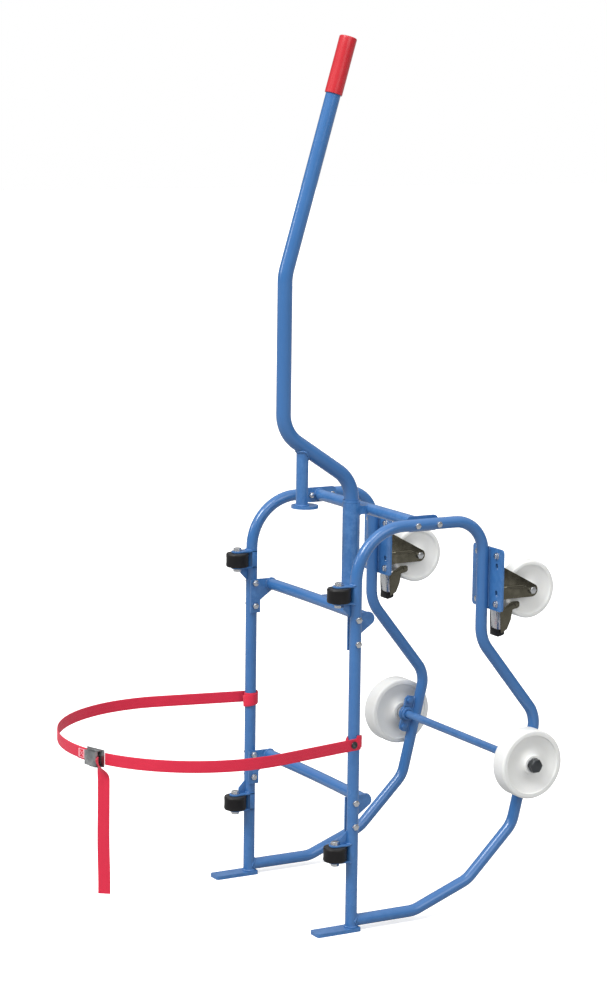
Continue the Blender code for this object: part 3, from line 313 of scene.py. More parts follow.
def webbingFinish(name, look):
    made, tree, shader = newMaterial(name)
    weave = placeGroup(tree, weaveGroup)
    grain = placeGroup(tree, grainGroup, Scale=1500.0, Patch=22.0)
    fade = mathNode(tree, "MULTIPLY", grain.outputs["Tone"], 0.35)
    plain = mixColour(tree, fade, look["colour"], look["faded"])
    # the colour darkens towards a painted shade in the weave's low places
    shadedWeave = mixColour(tree, mathNode(tree, "MULTIPLY", weave.outputs["GrooveShade"], 2.0, clamp=True), plain,
        look["grooveShade"])
    fuzz = mathNode(tree, "MULTIPLY_ADD", grain.outputs["Height"], 0.3, weave.outputs["Height"])
    bump = tree.nodes.new("ShaderNodeBump")
    bump.inputs["Strength"].default_value = look["bump"]
    bump.inputs["Distance"].default_value = look["depth"]
    feed(
        tree, (shadedWeave, shader.inputs["Base Color"]), (fuzz, bump.inputs["Height"]),
        (bump.outputs["Normal"], shader.inputs["Normal"]),
    )
    shader.inputs["Roughness"].default_value = look["rough"]
    shader.inputs["Sheen Weight"].default_value = look["sheen"]
    return {"material": made, "slot": look["slot"]}


def threadFinish(name, look):
    made, tree, shader = newMaterial(name)
    grain = placeGroup(tree, grainGroup, Scale=look["twist"], Patch=400.0)
    colour = mixColour(tree, grain.outputs["Tone"], look["colour"], look["second"])
    bump = tree.nodes.new("ShaderNodeBump")
    bump.inputs["Strength"].default_value = 0.4
    bump.inputs["Distance"].default_value = 0.0002
    feed(
        tree, (colour, shader.inputs["Base Color"]), (grain.outputs["Height"], bump.inputs["Height"]),
        (bump.outputs["Normal"], shader.inputs["Normal"]),
    )
    shader.inputs["Roughness"].default_value = look["rough"]
    return {"material": made, "slot": look["slot"]}


finishes = {name: hardFinish(name, look) for name, look in finishLook.items()}
finishes["webbing"] = webbingFinish("webbing", webbingLook)
finishes["thread"] = threadFinish("thread", threadLook)
print("finishes made")


# making shapes

def turns(count, start=0.0):
    return [start + 2 * pi * k / count for k in range(count)]


def skin(bm, rings, closed=False):
    pairs = list(zip(rings, rings[1:]))
    if closed:
        pairs.append((rings[-1], rings[0]))
    for first, second in pairs:
        for i in range(len(first)):
            j = (i + 1) % len(first)
            bm.faces.new((first[i], first[j], second[j], second[i]))
    if not closed:
        bm.faces.new(rings[0])
        bm.faces.new(rings[-1])


def addPiece(name, bm, finish, node, stands=True, sharp=32, others=()):
    # a finished piece that rides with a CAD node's body, and stands for it unless told not to
    bmesh.ops.recalc_face_normals(bm, faces=bm.faces)
    mesh = bpy.data.meshes.new(name)
    bm.to_mesh(mesh)
    bm.free()
    mesh.shade_smooth()
    mesh.set_sharp_from_angle(angle=radians(sharp))
    mesh.materials.append(finishes[finish]["material"])
    piece = bpy.data.objects.new(name, mesh)
    bpy.context.scene.collection.objects.link(piece)
    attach(piece, frame["nodes"][node]["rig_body"])
    if stands:
        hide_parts(node, *others)
    return piece


def softEdges(bm, width, segments=2, angle=30):
    sharp = [e for e in bm.edges if len(e.link_faces) == 2 and e.calc_face_angle(0) > radians(angle)]
    bmesh.ops.bevel(bm, geom=sharp, offset=width, segments=segments, affect="EDGES", profile=0.5,
        clamp_overlap=True)


def bentPath(corners, bends, x=0.0, step=radians(5), closed=False):
    # corners (y, z) in the plane at x, each inner one rounded to its bend radius
    made = []
    count = len(corners)
    for i, corner in enumerate(corners):
        here = Vector(corner)
        if not closed and i in (0, count - 1):
            made.append(here)
            continue
        back = (Vector(corners[i - 1]) - here).normalized()
        ahead = (Vector(corners[(i + 1) % count]) - here).normalized()
        turn = pi - back.angle(ahead)
        if bends[i] == 0 or turn < radians(0.5):
            made.append(here)
            continue
        reach = bends[i] * tan(turn / 2)
        centre = here + (back + ahead).normalized() * (bends[i] / cos(turn / 2))
        start = here + back * reach - centre
        way = 1 if back.x * ahead.y - back.y * ahead.x < 0 else -1
        pieces = max(2, round(turn / step))
        for k in range(pieces + 1):
            angle = way * turn * k / pieces
            made.append(centre + Vector((
                start.x * cos(angle) - start.y * sin(angle), start.x * sin(angle) + start.y * cos(angle),
            )))
    return [Vector((x, p.x, p.y)) for p in made]


def sweep(bm, path, radius, normal, count=40, closed=False):
    # a round section along a path; radius is one number or one for each point
    last = len(path) - 1
    radii = radius if isinstance(radius, list) else [radius] * len(path)
    rings = []
    for i, here in enumerate(path):
        before = path[i - 1] if closed or i else here
        after = path[(i + 1) % len(path)] if closed or i < last else here
        along = (after - before).normalized()
        first = (normal - along * along.dot(normal)).normalized()
        second = along.cross(first)
        rings.append([bm.verts.new(here + (first * cos(t) + second * sin(t)) * radii[i]) for t in turns(count)])
    skin(bm, rings, closed)


def sideways(axis):
    first = axis.cross(upZ) if abs(axis.z) < 0.9 else Vector((1, 0, 0))
    first = (first - axis * axis.dot(first)).normalized()
    return first, axis.cross(first)


def lathe(bm, profile, centre, axis, count=48, closed=False):
    # a profile of (radius, along) turned round an axis; a closed one is a ring's outline
    axis = Vector(axis).normalized()
    first, second = sideways(axis)
    rings = []
    for radius, along in profile:
        base = Vector(centre) + axis * along
        rings.append([bm.verts.new(base + (first * cos(t) + second * sin(t)) * radius) for t in turns(count)])
    skin(bm, rings, closed)


def ringOutline(inner, outer, low, high):
    return [(inner, high), (outer, high), (outer, low), (inner, low)]


def arc(centre, radius, start, end, pieces):
    return [
        (centre[0] + radius * cos(start + (end - start) * k / pieces),
         centre[1] + radius * sin(start + (end - start) * k / pieces))
        for k in range(pieces + 1)
    ]


def roundedOutline(corners, radii, step=radians(10)):
    return [(p.y, p.z) for p in bentPath(corners, radii, 0.0, step, closed=True)]


def slab(bm, outline, near, far, axis="X"):
    # an outline given a thickness: (y, z) along X, (x, z) along Y, (x, y) along Z
    def spot(a, b, along):
        return Vector({"X": (along, a, b), "Y": (a, along, b), "Z": (a, b, along)}[axis])
    skin(bm, [[bm.verts.new(spot(a, b, place)) for a, b in outline] for place in (near, far)])


def merged(*makers):
    # one mesh from several closed shapes, each softened on its own
    whole = bmesh.new()
    for make, width in makers:
        part = bmesh.new()
        make(part)
        bmesh.ops.recalc_face_normals(part, faces=part.faces)
        if width:
            softEdges(part, width)
        temp = bpy.data.meshes.new("temp")
        part.to_mesh(temp)
        part.free()
        whole.from_mesh(temp)
        bpy.data.meshes.remove(temp)
    return whole


def hexHead(bm, centre, axis, flats, height, bothEnds=False):
    # a hexagon with its corners turned down to a cone
    axis = Vector(axis).normalized()
    first, second = sideways(axis)
    half = flats / 2
    face = half * 0.94
    drop = (half / cos(pi / 6) - face) * tan(radians(30))
    levels = [0.0, height - drop, height - drop * 0.6, height - drop * 0.25, height]
    if bothEnds:
        levels = [0.0, drop * 0.25, drop * 0.6, drop] + levels[1:]
    rings = []
    for level in levels:
        cone = face + (height - level) / tan(radians(30))
        if bothEnds:
            cone = min(cone, face + level / tan(radians(30)))
        ring = []
        for t in turns(48):
            flat = half / cos(t % (pi / 3) - pi / 6)
            radius = min(flat, cone)
            ring.append(bm.verts.new(Vector(centre) + axis * level + (first * cos(t) + second * sin(t)) * radius))
        rings.append(ring)
    skin(bm, rings)


weldBeads = {"ripple": 0.0022, "height": 0.17, "wander": 0.22}


def weld(name, path, normal, size, node, closed=False, finish="blueEnamel"):
    # a laid bead: its ripples follow the length, and its width wanders a little
    fine, travelled = [], []
    total = 0.0
    pairs = list(zip(path, path[1:])) + ([(path[-1], path[0])] if closed else [])
    for start, end in pairs:
        span = (end - start).length
        steps = max(1, round(span / 0.0006))
        for k in range(steps):
            fine.append(start.lerp(end, k / steps))
            travelled.append(total + span * k / steps)
        total += span
    if not closed:
        fine.append(path[-1])
        travelled.append(total)
    ripples = max(1, round(total / weldBeads["ripple"]))
    radii = []
    for point, way in zip(fine, travelled):
        wave = 1 + weldBeads["height"] * sin(2 * pi * ripples * way / total)
        drift = 1 + weldBeads["wander"] * noise.noise(point * 90)
        fade = 1.0 if closed else min(1.0, 0.25 + min(way, total - way) / (size * 2))
        radii.append(size * wave * drift * fade)
    bm = bmesh.new()
    sweep(bm, fine, radii, normal, 10, closed)
    return addPiece(name, bm, finish, node, stands=False, sharp=80)


def circle(centre, radius, axis, count=64):
    axis = Vector(axis).normalized()
    first, second = sideways(axis)
    return [Vector(centre) + (first * cos(t) + second * sin(t)) * radius for t in turns(count)]


def boltUp(name, at, axis, flats, head, node, finish="zinc", stands=True, grip=0.0, shank=0.005, tip=0.008,
    nut=0.0065,
           washer=0.0012):
    # chamfered head, a washer if it has one, and through the grip length a shank with its nut
    axis = Vector(axis).normalized()
    at = Vector(at)
    makers = [(lambda part: hexHead(part, at + axis * washer, axis, flats, head - washer), 0)]
    if washer:
        makers.append((lambda part: lathe(part, ringOutline(shank, flats * 0.66, 0, washer), at, axis, 48,
            True), 0.0003))
    if grip:
        foot = at - axis * (grip + nut)
        makers.append((lambda part: lathe(part, [(shank, -grip - tip), (shank, 0)], at, axis, 32), 0.0008))
        makers.append((lambda part: hexHead(part, foot, axis, flats, nut, True), 0))
    return addPiece(name, merged(*makers), finish, node, stands)


# side frames

dolly = {
    "postX": 0.228, "postY": 0.033, "tubeR": 0.0125, "footZ": 0.0208, "top": 0.854, "toeT": 0.008,
    "corners": [
        (0.033, 0.0084), (0.033, 0.854), (0.342, 0.854), (0.342, 0.596), (0.488, 0.414), (0.432, 0.180),
        (0.321, 0.071), (0.1875, 0.0208), (0.040, 0.0208),
    ],
    "bends": [0, 0.110, 0.070, 0.080, 0.062, 0.062, 0.062, 0.062, 0],
}
toe = {"half": 0.018, "front": -0.056, "back": 0.049, "corner": 0.006, "edge": 0.0012}


def sideFrame(word, low, way):
    x = way * dolly["postX"]
    bm = bmesh.new()
    sweep(bm, bentPath(dolly["corners"], dolly["bends"], x), dolly["tubeR"], acrossX, 48)
    addPiece(f"loopTube{word}", bm, "blueEnamel", f"side_frame_{low}")
    weld(f"footWeld{word}", circle((x, 0.033, 0.0092), 0.0128, upZ), upZ, 0.0021, f"side_frame_{low}", True)
    ring = []
    for t in turns(64):
        y = dolly["postY"] + sqrt(max(0.0, dolly["tubeR"] ** 2 - (dolly["tubeR"] * 0.98 * sin(t)) ** 2))
        ring.append(Vector((x + dolly["tubeR"] * sin(t), y + 0.0006, dolly["footZ"] + dolly["tubeR"] * cos(t))))
    weld(f"runWeld{word}", ring, acrossY, 0.0022, f"side_frame_{low}", True)
    bm = bmesh.new()
    corners = [(x - toe["half"], toe["front"]), (x + toe["half"], toe["front"]), (x + toe["half"], toe["back"]),
               (x - toe["half"], toe["back"])]
    slab(bm, roundedOutline(corners, [toe["corner"]] * 4), 0, dolly["toeT"], "Z")
    softEdges(bm, toe["edge"], 3)
    addPiece(f"toeFoot{word}", bm, "blueEnamel", f"toe_plate_{low}")


for word, low, way in sides:
    sideFrame(word, low, way)
print("side frames")


# crossbars

bars = {
    "r": 0.0125, "endY": 0.073, "bow": 0.0045, "faceX": 0.2156, "lugT": 0.0042, "nose": 0.013, "down": 0.062,
    "levels": {"lower": 0.273, "upper": 0.662}, "bolts": (0.005, -0.046), "boltX": 0.2404, "flats": 0.0125,
    "head": 0.0045,
}
topBar = {"y": 0.193, "z": 0.854, "front": 0.160, "rear": 0.236, "half": 0.0165, "corner": 0.009,
    "boltY": (0.172, 0.224)}
mast = {"y": 0.152, "sleeveR": 0.0190, "boreR": 0.0162, "low": 0.632, "high": 0.870, "linkHalf": 0.009}


def barEndWelds(tag, y, z, node):
    for word, low, way in sides:
        weld(f"{tag}Weld{word}", circle((way * 0.2108, y, z), bars["r"] + 0.0003, acrossX), acrossX, 0.0019,
            node, True)


def bowedBar(level, z):
    node = f"crossbar_{level}"
    endX = bars["faceX"] - bars["lugT"] / 2
    path = []
    for k in range(49):
        x = endX * (2 * k / 48 - 1)
        path.append(Vector((x, bars["endY"] + bars["bow"] * (1 - (x / endX) ** 2), z)))
    bm = bmesh.new()
    sweep(bm, path, bars["r"], upZ, 40)
    addPiece(f"bowBar{level.title()}", bm, "blueEnamel", node)
    post, heel, nose = dolly["postY"], dolly["postY"] + dolly["tubeR"] + 0.001, (bars["endY"], z)
    front = post - dolly["tubeR"] + 0.002
    outline = [(front, z - bars["down"]), (heel, z - bars["down"]), (heel, z - bars["down"] * 0.55)]
    outline += arc(nose, bars["nose"], radians(-45), radians(90), 16)
    outline += [(front, z + bars["nose"])]
    for word, low, way in sides:
        bm = bmesh.new()
        slab(bm, outline, way * (bars["faceX"] - bars["lugT"]), way * bars["faceX"])
        softEdges(bm, 0.0008)
        addPiece(f"bowLug{level.title()}{word}", bm, "blueEnamel", node, stands=False)
        for n, rise in enumerate(bars["bolts"]):
            grip = bars["boltX"] - bars["faceX"] + bars["lugT"]
            boltUp(
                f"barBolt{level.title()}{word}{n + 1}", (way * bars["boltX"], post, z + rise), (way, 0, 0),
                bars["flats"],
                bars["head"], f"crossbar_bolt_{level}_{low}_{n + 1}", grip=grip, washer=0,
            )
    barEndWelds(f"bow{level.title()}", bars["endY"], z, node)


def linkBlock(tag, y, z, node):
    # short block between a crossbar and the mast's sleeve
    half = mast["sleeveR"] * 0.8
    near, far = sorted((y, mast["y"]))
    outline = [(-half, near), (half, near), (half, far), (-half, far)]
    bm = bmesh.new()
    slab(bm, outline, z - mast["linkHalf"], z + mast["linkHalf"], "Z")
    softEdges(bm, 0.001)
    addPiece(f"{tag}Link", bm, "blueEnamel", node, stands=False)


def topCrossbar():
    node = "crossbar_top"
    endX = bars["faceX"] - bars["lugT"] / 2
    bm = bmesh.new()
    sweep(bm, [Vector((-endX, topBar["y"], topBar["z"])), Vector((endX, topBar["y"], topBar["z"]))], bars["r"],
        upZ, 40)
    addPiece("topBar", bm, "blueEnamel", node)
    low, high = topBar["z"] - topBar["half"], topBar["z"] + topBar["half"]
    corners = [(topBar["front"], low), (topBar["rear"], low), (topBar["rear"], high), (topBar["front"], high)]
    for word, low, way in sides:
        bm = bmesh.new()
        slab(bm, roundedOutline(corners, [topBar["corner"]] * 4), way * (bars["faceX"] - bars["lugT"]),
            way * bars["faceX"])
        softEdges(bm, 0.0008)
        addPiece(f"topLug{word}", bm, "blueEnamel", node, stands=False)
        for n, y in enumerate(topBar["boltY"]):
            boltUp(
                f"topBolt{word}{n + 1}", (way * bars["boltX"], y, topBar["z"]), (way, 0, 0), 0.0115, 0.0045,
                f"side_frame_{low}", stands=False, washer=0, grip=bars["boltX"] - bars["faceX"] + bars["lugT"],
                shank=0.004,
            )
    barEndWelds("top", topBar["y"], topBar["z"], node)


for level, z in bars["levels"].items():
    bowedBar(level, z)
topCrossbar()
linkBlock("upper", bars["endY"] + bars["bow"], bars["levels"]["upper"], "crossbar_upper")
linkBlock("top", topBar["y"], topBar["z"], "crossbar_top")
print("crossbars")


# mast, handle and hook

handle = {
    "r": 0.0159, "foot": 0.655, "crankZ": 0.917, "crankY": -0.017, "pitch": radians(33.6), "leanZ": 1.361,
    "lean": radians(16.3), "top": 1.851, "bends": [0, 0.075, 0.075, 0.110, 0],
}
grip = {"bore": 0.0162, "r": 0.0188, "length": 0.119, "end": 0.004, "round": 0.003}
hook = {"y": 0.030, "r": 0.013, "plateY": 0.037, "plateR": 0.029, "low": 0.866, "high": 0.872}


def sleevePieces():
    bm = bmesh.new()
    lathe(bm, ringOutline(mast["boreR"], mast["sleeveR"], mast["low"], mast["high"]), (0, mast["y"], 0), upZ,
        64, True)
    softEdges(bm, 0.0006)
    addPiece("mastSleeve", bm, "blueEnamel", "mast_sleeve")
    bm = bmesh.new()
    lathe(bm, ringOutline(mast["boreR"], mast["sleeveR"] - 0.0003, 0.8703, 0.8763), (0, mast["y"], 0), upZ, 64,
        True)
    softEdges(bm, 0.0012, 3)
    addPiece("guideRing", bm, "blueEnamel", "guide_bush")
    for tag, y, z, node in (("Top", topBar["y"], topBar["z"], "crossbar_top"),
                            ("Upper", bars["endY"] + bars["bow"], bars["levels"]["upper"], "crossbar_upper")):
        facing = 1 if y > mast["y"] else -1
        for n, up in enumerate((1, -1)):
            arcPath = []
            for k in range(17):
                t = radians(-50 + 100 * k / 16)
                arcPath.append(Vector((
                    mast["sleeveR"] * sin(t), mast["y"] + facing * mast["sleeveR"] * cos(t),
                    z + up * mast["linkHalf"],
                )))
            weld(f"sleeveWeld{tag}{n + 1}", arcPath, upZ, 0.0021, node)


def crankHeight(y):
    return handle["crankZ"] + (mast["y"] - y) * tan(handle["pitch"])


def handlePieces():
    leanY = handle["crankY"] + (handle["top"] - handle["leanZ"]) * tan(handle["lean"])
    corners = [
        (mast["y"], handle["foot"]), (mast["y"], handle["crankZ"]),
        (handle["crankY"], crankHeight(handle["crankY"])),
        (handle["crankY"], handle["leanZ"]), (leanY, handle["top"]),
    ]
    bm = bmesh.new()
    sweep(bm, bentPath(corners, handle["bends"], 0.0, radians(3)), handle["r"], acrossX, 56)
    addPiece("handleTube", bm, "blueEnamel", "handle_tube")
    top = Vector((0, *corners[-1]))
    down = (Vector((0, *corners[-2])) - top).normalized()
    end, r, inner = grip["end"], grip["r"], grip["bore"]
    profile = [(inner, grip["length"]), (r - 0.0006, grip["length"]), (r, grip["length"] - 0.0007)]
    profile += [(r - 0.0001, 0.020)]
    profile += [(r - grip["round"] * (1 - cos(t)),
        -end + grip["round"] * (1 - sin(t))) for t in (radians(15 * k) for k in range(7))]
    profile += [(0.004, -end - 0.0002), (0.0012, -end + 0.0004), (0.0012, -0.0005), (inner, -0.0005)]
    bm = bmesh.new()
    lathe(bm, profile, top, down, 64, True)
    addPiece("handleGrip", bm, "gripRed", "handle_grip")


def hookPieces():
    low, high, bead = [], [], []
    bm = bmesh.new()
    for t in turns(56):
        x, y = hook["r"] * cos(t), hook["y"] + hook["r"] * sin(t)
        # the crank is round too, so the saddle climbs away from its middle line
        drop = sqrt(handle["r"] ** 2 - x * x) / cos(handle["pitch"])
        under = crankHeight(y) - drop + 0.0006
        low.append(bm.verts.new((x, y, hook["high"])))
        high.append(bm.verts.new((x, y, under)))
        bead.append(Vector((x * 1.04, hook["y"] + (y - hook["y"]) * 1.04, under - 0.0008)))
    skin(bm, [low, high])
    addPiece("hookPost", bm, "blueEnamel", "hook_post")
    weld("hookWeldHigh", bead, upZ, 0.0023, "hook_post", True)
    weld("hookWeldLow", circle((0, hook["y"], hook["high"] + 0.0006), hook["r"] + 0.0004, upZ), upZ, 0.0021,
        "hook_post", True)
    bm = bmesh.new()
    lathe(bm, [(hook["plateR"], hook["low"]), (hook["plateR"], hook["high"])], (0, hook["plateY"], 0), upZ, 72)
    softEdges(bm, 0.0012, 3)
    addPiece("hookPlate", bm, "blueEnamel", "hook_plate")


sleevePieces()
handlePieces()
hookPieces()
print("mast, handle and hook")


# rollers

rollers = {
    "x": 0.2235, "y": -0.0054, "levels": {"lower": 0.170, "upper": 0.720}, "r": 0.025, "half": 0.0155,
    "bore": 0.0053,
    "earIn": 0.0161, "earT": 0.0035, "earR": 0.0135, "pinR": 0.005, "flats": 0.0155, "head": 0.0065, "webX": 0.2124,
    "ribH": 0.030, "ribFrontH": 0.012, "ribT": 0.003,
}


def rollerSet(word, low, way, level, z):
    s = rollers
    centre = (way * s["x"], s["y"], z)
    bm = bmesh.new()
    profile = [(s["bore"], s["half"]), (s["r"] - 0.006, s["half"]), (s["r"] - 0.0015, s["half"] - 0.0005),
        (s["r"], s["half"] - 0.0035)]
    profile += [(s["r"] - 0.0005, 0.004), (s["r"] - 0.0005, -0.004)]
    profile += [(r, -along) for r, along in reversed(profile[:4])]
    lathe(bm, profile, centre, upZ, 64, True)
    addPiece(f"roller{level.title()}{word}", bm, "rubber", f"roller_{level}_{low}", sharp=25)
    pin = (s["x"], s["y"])
    post = dolly["postX"]
    outer = post + dolly["tubeR"] * 0.75
    outline = [(outer, 0.029), (outer, 0.021)]
    outline += arc(pin, s["earR"], radians(-15), radians(-180), 20)
    outline += [(s["webX"], 0.023), (s["webX"], 0.039), (s["webX"] + 0.007, 0.039)]
    outline = [(way * x, y) for x, y in outline]
    base, top = z - s["earIn"] - s["earT"], z + s["earIn"] + s["earT"]
    rib = -1 if level == "upper" else 1
    ribBase = z + rib * (s["earIn"] + s["earT"] - 0.0005)
    ribOutline = [
        (0.0215, ribBase), (0.0215, ribBase + rib * s["ribH"]), (s["y"] + 0.0095, ribBase + rib * s["ribFrontH"]),
        (s["y"] + 0.0095, ribBase),
    ]
    ribX = way * (post - s["ribT"] / 2)
    web = [(way * s["webX"], 0.026), (way * (s["webX"] + 0.0026), 0.026), (way * (s["webX"] + 0.0026), 0.0385),
        (way * s["webX"], 0.0385)]
    bm = merged(
        (lambda part: slab(part, outline, base, base + s["earT"], "Z"), 0.0006),
        (lambda part: slab(part, outline, top - s["earT"], top, "Z"), 0.0006),
        (lambda part: slab(part, web, base + 0.0005, top - 0.0005, "Z"), 0.0004),
        (lambda part: slab(part, ribOutline, ribX - s["ribT"] / 2, ribX + s["ribT"] / 2), 0.0004),
    )
    addPiece(f"rollerEars{level.title()}{word}", bm, "blueEnamel", f"roller_bracket_{level}_{low}")
    for n, (edge, lift) in enumerate(((base, -0.0004), (top, 0.0004))):
        path = [
            Vector((way * post + dolly["tubeR"] * sin(t) * 1.02,
                dolly["postY"] - dolly["tubeR"] * cos(t) * 1.02, edge + lift))
            for t in (radians(-62 + 124 * k / 24) for k in range(25))
        ]
        weld(f"earWeld{level.title()}{word}{n + 1}", path, upZ, 0.0019, f"roller_bracket_{level}_{low}")
    face = s["earIn"] + s["earT"] + 0.0003
    at = Vector((centre[0], centre[1], z + face))
    bm = merged(
        (lambda part: lathe(part, [(s["pinR"], -face), (s["pinR"], face)], centre, upZ, 32), 0),
        (lambda part: lathe(part, ringOutline(s["pinR"] - 0.001, 0.0098, 0, 0.0012), at, upZ, 48, True), 0.0003),
        (lambda part: hexHead(part, at + upZ * 0.0012, upZ, s["flats"], s["head"] - 0.0012), 0),
        (lambda part: hexHead(part, at - upZ * (2 * face + s["head"]), upZ, s["flats"], s["head"], True), 0),
    )
    addPiece(f"rollerPin{level.title()}{word}", bm, "zinc", f"roller_bolt_{level}_{low}")


for word, low, way in sides:
    for level, z in rollers["levels"].items():
        rollerSet(word, low, way, level, z)
print("rollers")


# main wheels and axle

axle = {"y": 0.440, "z": 0.325, "r": 0.009, "end": 0.3081, "bushR": 0.0128, "bushIn": 0.2308, "bushOut": 0.2948}
bigWheel = {
    "x": 0.2705, "r": 0.075, "half": 0.0215, "bore": 0.0131, "hub": 0.021, "proud": 0.0025, "rim": 0.063,
    "dish": 0.004,
    "round": 0.005, "sink": 0.0065,
}
axleNut = {"x": 0.2951, "flats": 0.027, "height": 0.0132}
axlePlate = {
    "t": 0.005, "half": 0.042, "reach": 0.0365, "corner": 0.0112, "bolt": 0.031, "flats": 0.013,
    "collarR": 0.0145, "collar": 0.009,
}


def wheelProfile(w):
    # half of a moulded wheel: bore, hub, web that falls away in a curve, deep rim and rounded tread
    half, dish = w["half"], w["dish"]
    face = half - dish
    made = [(w["bore"], half + w["proud"] - 0.0005), (w["bore"] + 0.0005, half + w["proud"])]
    made += [(w["hub"] - 0.001, half + w["proud"]), (w["hub"], half + w["proud"] - 0.001)]
    made += [(w["hub"] + 0.0006, face + 0.0014), (w["hub"] + 0.0022, face)]
    span = w["rim"] - w["hub"] - 0.0052
    for k in range(1, 12):
        t = k / 12
        made.append((w["hub"] + 0.0022 + span * t, face - w["sink"] * sin(pi * t ** 0.8) ** 1.2))
    made += [(w["rim"] - 0.0030, face), (w["rim"] - 0.0008, face + 0.0012), (w["rim"], half - 0.0012),
        (w["rim"] + 0.0012, half)]
    tread = w["r"]
    made += [
        (tread - w["round"] * (1 - sin(t)),
            half - w["round"] * (1 - cos(t))) for t in (radians(11.25 * k) for k in range(9))
    ]
    return made + [(r, -along) for r, along in reversed(made)]


def moulded(name, w, centre, node, count=96):
    bm = bmesh.new()
    lathe(bm, wheelProfile(w), centre, acrossX, count, True)
    addPiece(name, bm, "polyamide", node, sharp=30)


def mainWheel(word, low, way):
    moulded(f"mainWheel{word}", bigWheel, (way * bigWheel["x"], axle["y"], axle["z"]), f"main_wheel_{low}")
    centre = (0, axle["y"], axle["z"])
    near, far = sorted((way * axle["bushIn"], way * axle["bushOut"]))
    bm = merged(
        (lambda part: lathe(part, ringOutline(axle["r"] + 0.0002, axle["bushR"], near, far), centre, acrossX,
            48, True), 0.0006),
        (lambda part: lathe(part, ringOutline(axle["r"] + 0.0002, 0.0165, way * 0.2952, way * 0.2964), centre,
            acrossX, 64, True), 0.0004),
    )
    addPiece(f"wheelBush{word}", bm, "zinc", f"wheel_bush_{low}")
    out = Vector((way * (axleNut["x"] + 0.0014), axle["y"], axle["z"]))
    bm = bmesh.new()
    hexHead(bm, out, (way, 0, 0), axleNut["flats"], axleNut["height"] - 0.0014, True)
    addPiece(f"axleNut{word}", bm, "darkSteel", f"axle_nut_{low}")


def bellyLine():
    start, end = Vector(dolly["corners"][4]), Vector(dolly["corners"][5])
    return start, (end - start).normalized()


def axleBracket(word, low, way):
    p = axlePlate
    start, along = bellyLine()
    forward = Vector((along.y, -along.x))
    if forward.x > 0:
        forward = -forward
    centre = Vector((axle["y"], axle["z"]))
    foot = start + along * (centre - start).dot(along)
    first = dolly["tubeR"] - 0.0005
    x = way * dolly["postX"]
    corners = [tuple(foot + along * (side * p["half"]) + forward * reach)
               for side, reach in ((-1, first), (-1, p["reach"]), (1, p["reach"]), (1, first))]
    bm = bmesh.new()
    slab(bm, roundedOutline(corners, [0, p["corner"], p["corner"], 0]), x - p["t"] / 2, x + p["t"] / 2)
    softEdges(bm, 0.0007)
    addPiece(f"axlePlate{word}", bm, "blueEnamel", f"axle_bracket_{low}")
    for n, side in enumerate((1, -1)):
        edge = foot + forward * (dolly["tubeR"] + 0.0004)
        path = [Vector((x + side * p["t"] / 2, *(edge + along * (p["half"] * (k / 12 - 1))))) for k in range(25)]
        weld(f"axlePlateWeld{word}{n + 1}", path, acrossX, 0.002, f"axle_bracket_{low}")
        hole = centre + along * (side * p["bolt"])
        boltUp(
            f"axlePlateBolt{word}{n + 1}", (x - way * p["t"] / 2, hole.x, hole.y), (-way, 0, 0), p["flats"], 0.0058,
            f"axle_bracket_{low}", stands=False, grip=p["t"], shank=0.004, finish="blueEnamel",
        )
    inside = x - way * p["t"] / 2
    near, far = sorted((inside + way * p["t"], inside - way * p["collar"]))
    bm = merged(
        (lambda part: lathe(part, ringOutline(axle["r"] + 0.0002, p["collarR"], near, far),
            (0, axle["y"], axle["z"]), acrossX, 64, True), 0.0012),
        (lambda part: lathe(part, ringOutline(axle["r"] + 0.0002, 0.0185, inside, inside + way * p["t"]),
            (0, axle["y"], axle["z"]), acrossX, 64, True), 0.0008),
    )
    addPiece(f"axleCollar{word}", bm, "blueEnamel", f"axle_bracket_{low}", stands=False)
    weld(
        f"axleWeld{word}", circle((inside - way * 0.0004, axle["y"], axle["z"]), p["collarR"] + 0.0004,
            acrossX), acrossX,
        0.0018, f"axle_bracket_{low}", True,
    )


bm = bmesh.new()
lathe(bm, [(axle["r"], -axle["end"]), (axle["r"], axle["end"])], (0, axle["y"], axle["z"]), acrossX, 48)
softEdges(bm, 0.0012, 2)
addPiece("axleRod", bm, "blueEnamel", "main_axle")
for word, low, way in sides:
    mainWheel(word, low, way)
    axleBracket(word, low, way)
print("main wheels and axle")


# casters

caster = {
    "z": 0.729, "mountNear": 0.3548, "mountFar": 0.3593, "mountW": 0.115, "mountH": 0.133, "boltX": 0.0355,
    "boltZ": 0.0515, "holeZ": 0.0290, "holeHalf": 0.0068, "holeR": 0.0046, "plateNear": 0.3596,
    "plateFar": 0.3626, "plateW": 0.085,
    "plateH": 0.120, "headR": 0.026, "headTop": 0.3696, "crownR": 0.029, "crownNear": 0.3699, "crownFar": 0.3739,
    "legIn": 0.0235, "legT": 0.003, "nose": 0.0145, "axleY": 0.4521, "axleZ": 0.698, "axleR": 0.005,
    "pinFlats": 0.0140, "pinHead": 0.0055, "ridgeR": 0.0042,
}
smallWheel = {
    "r": 0.0625, "half": 0.018, "bore": 0.0053, "hub": 0.014, "proud": 0.0052, "rim": 0.0525, "dish": 0.003,
    "round": 0.005, "sink": 0.0035,
}
brake = {"pivotY": 0.4176, "pivotZ": 0.669, "cheekIn": 0.0192, "cheekT": 0.002, "treadHalf": 0.0135}


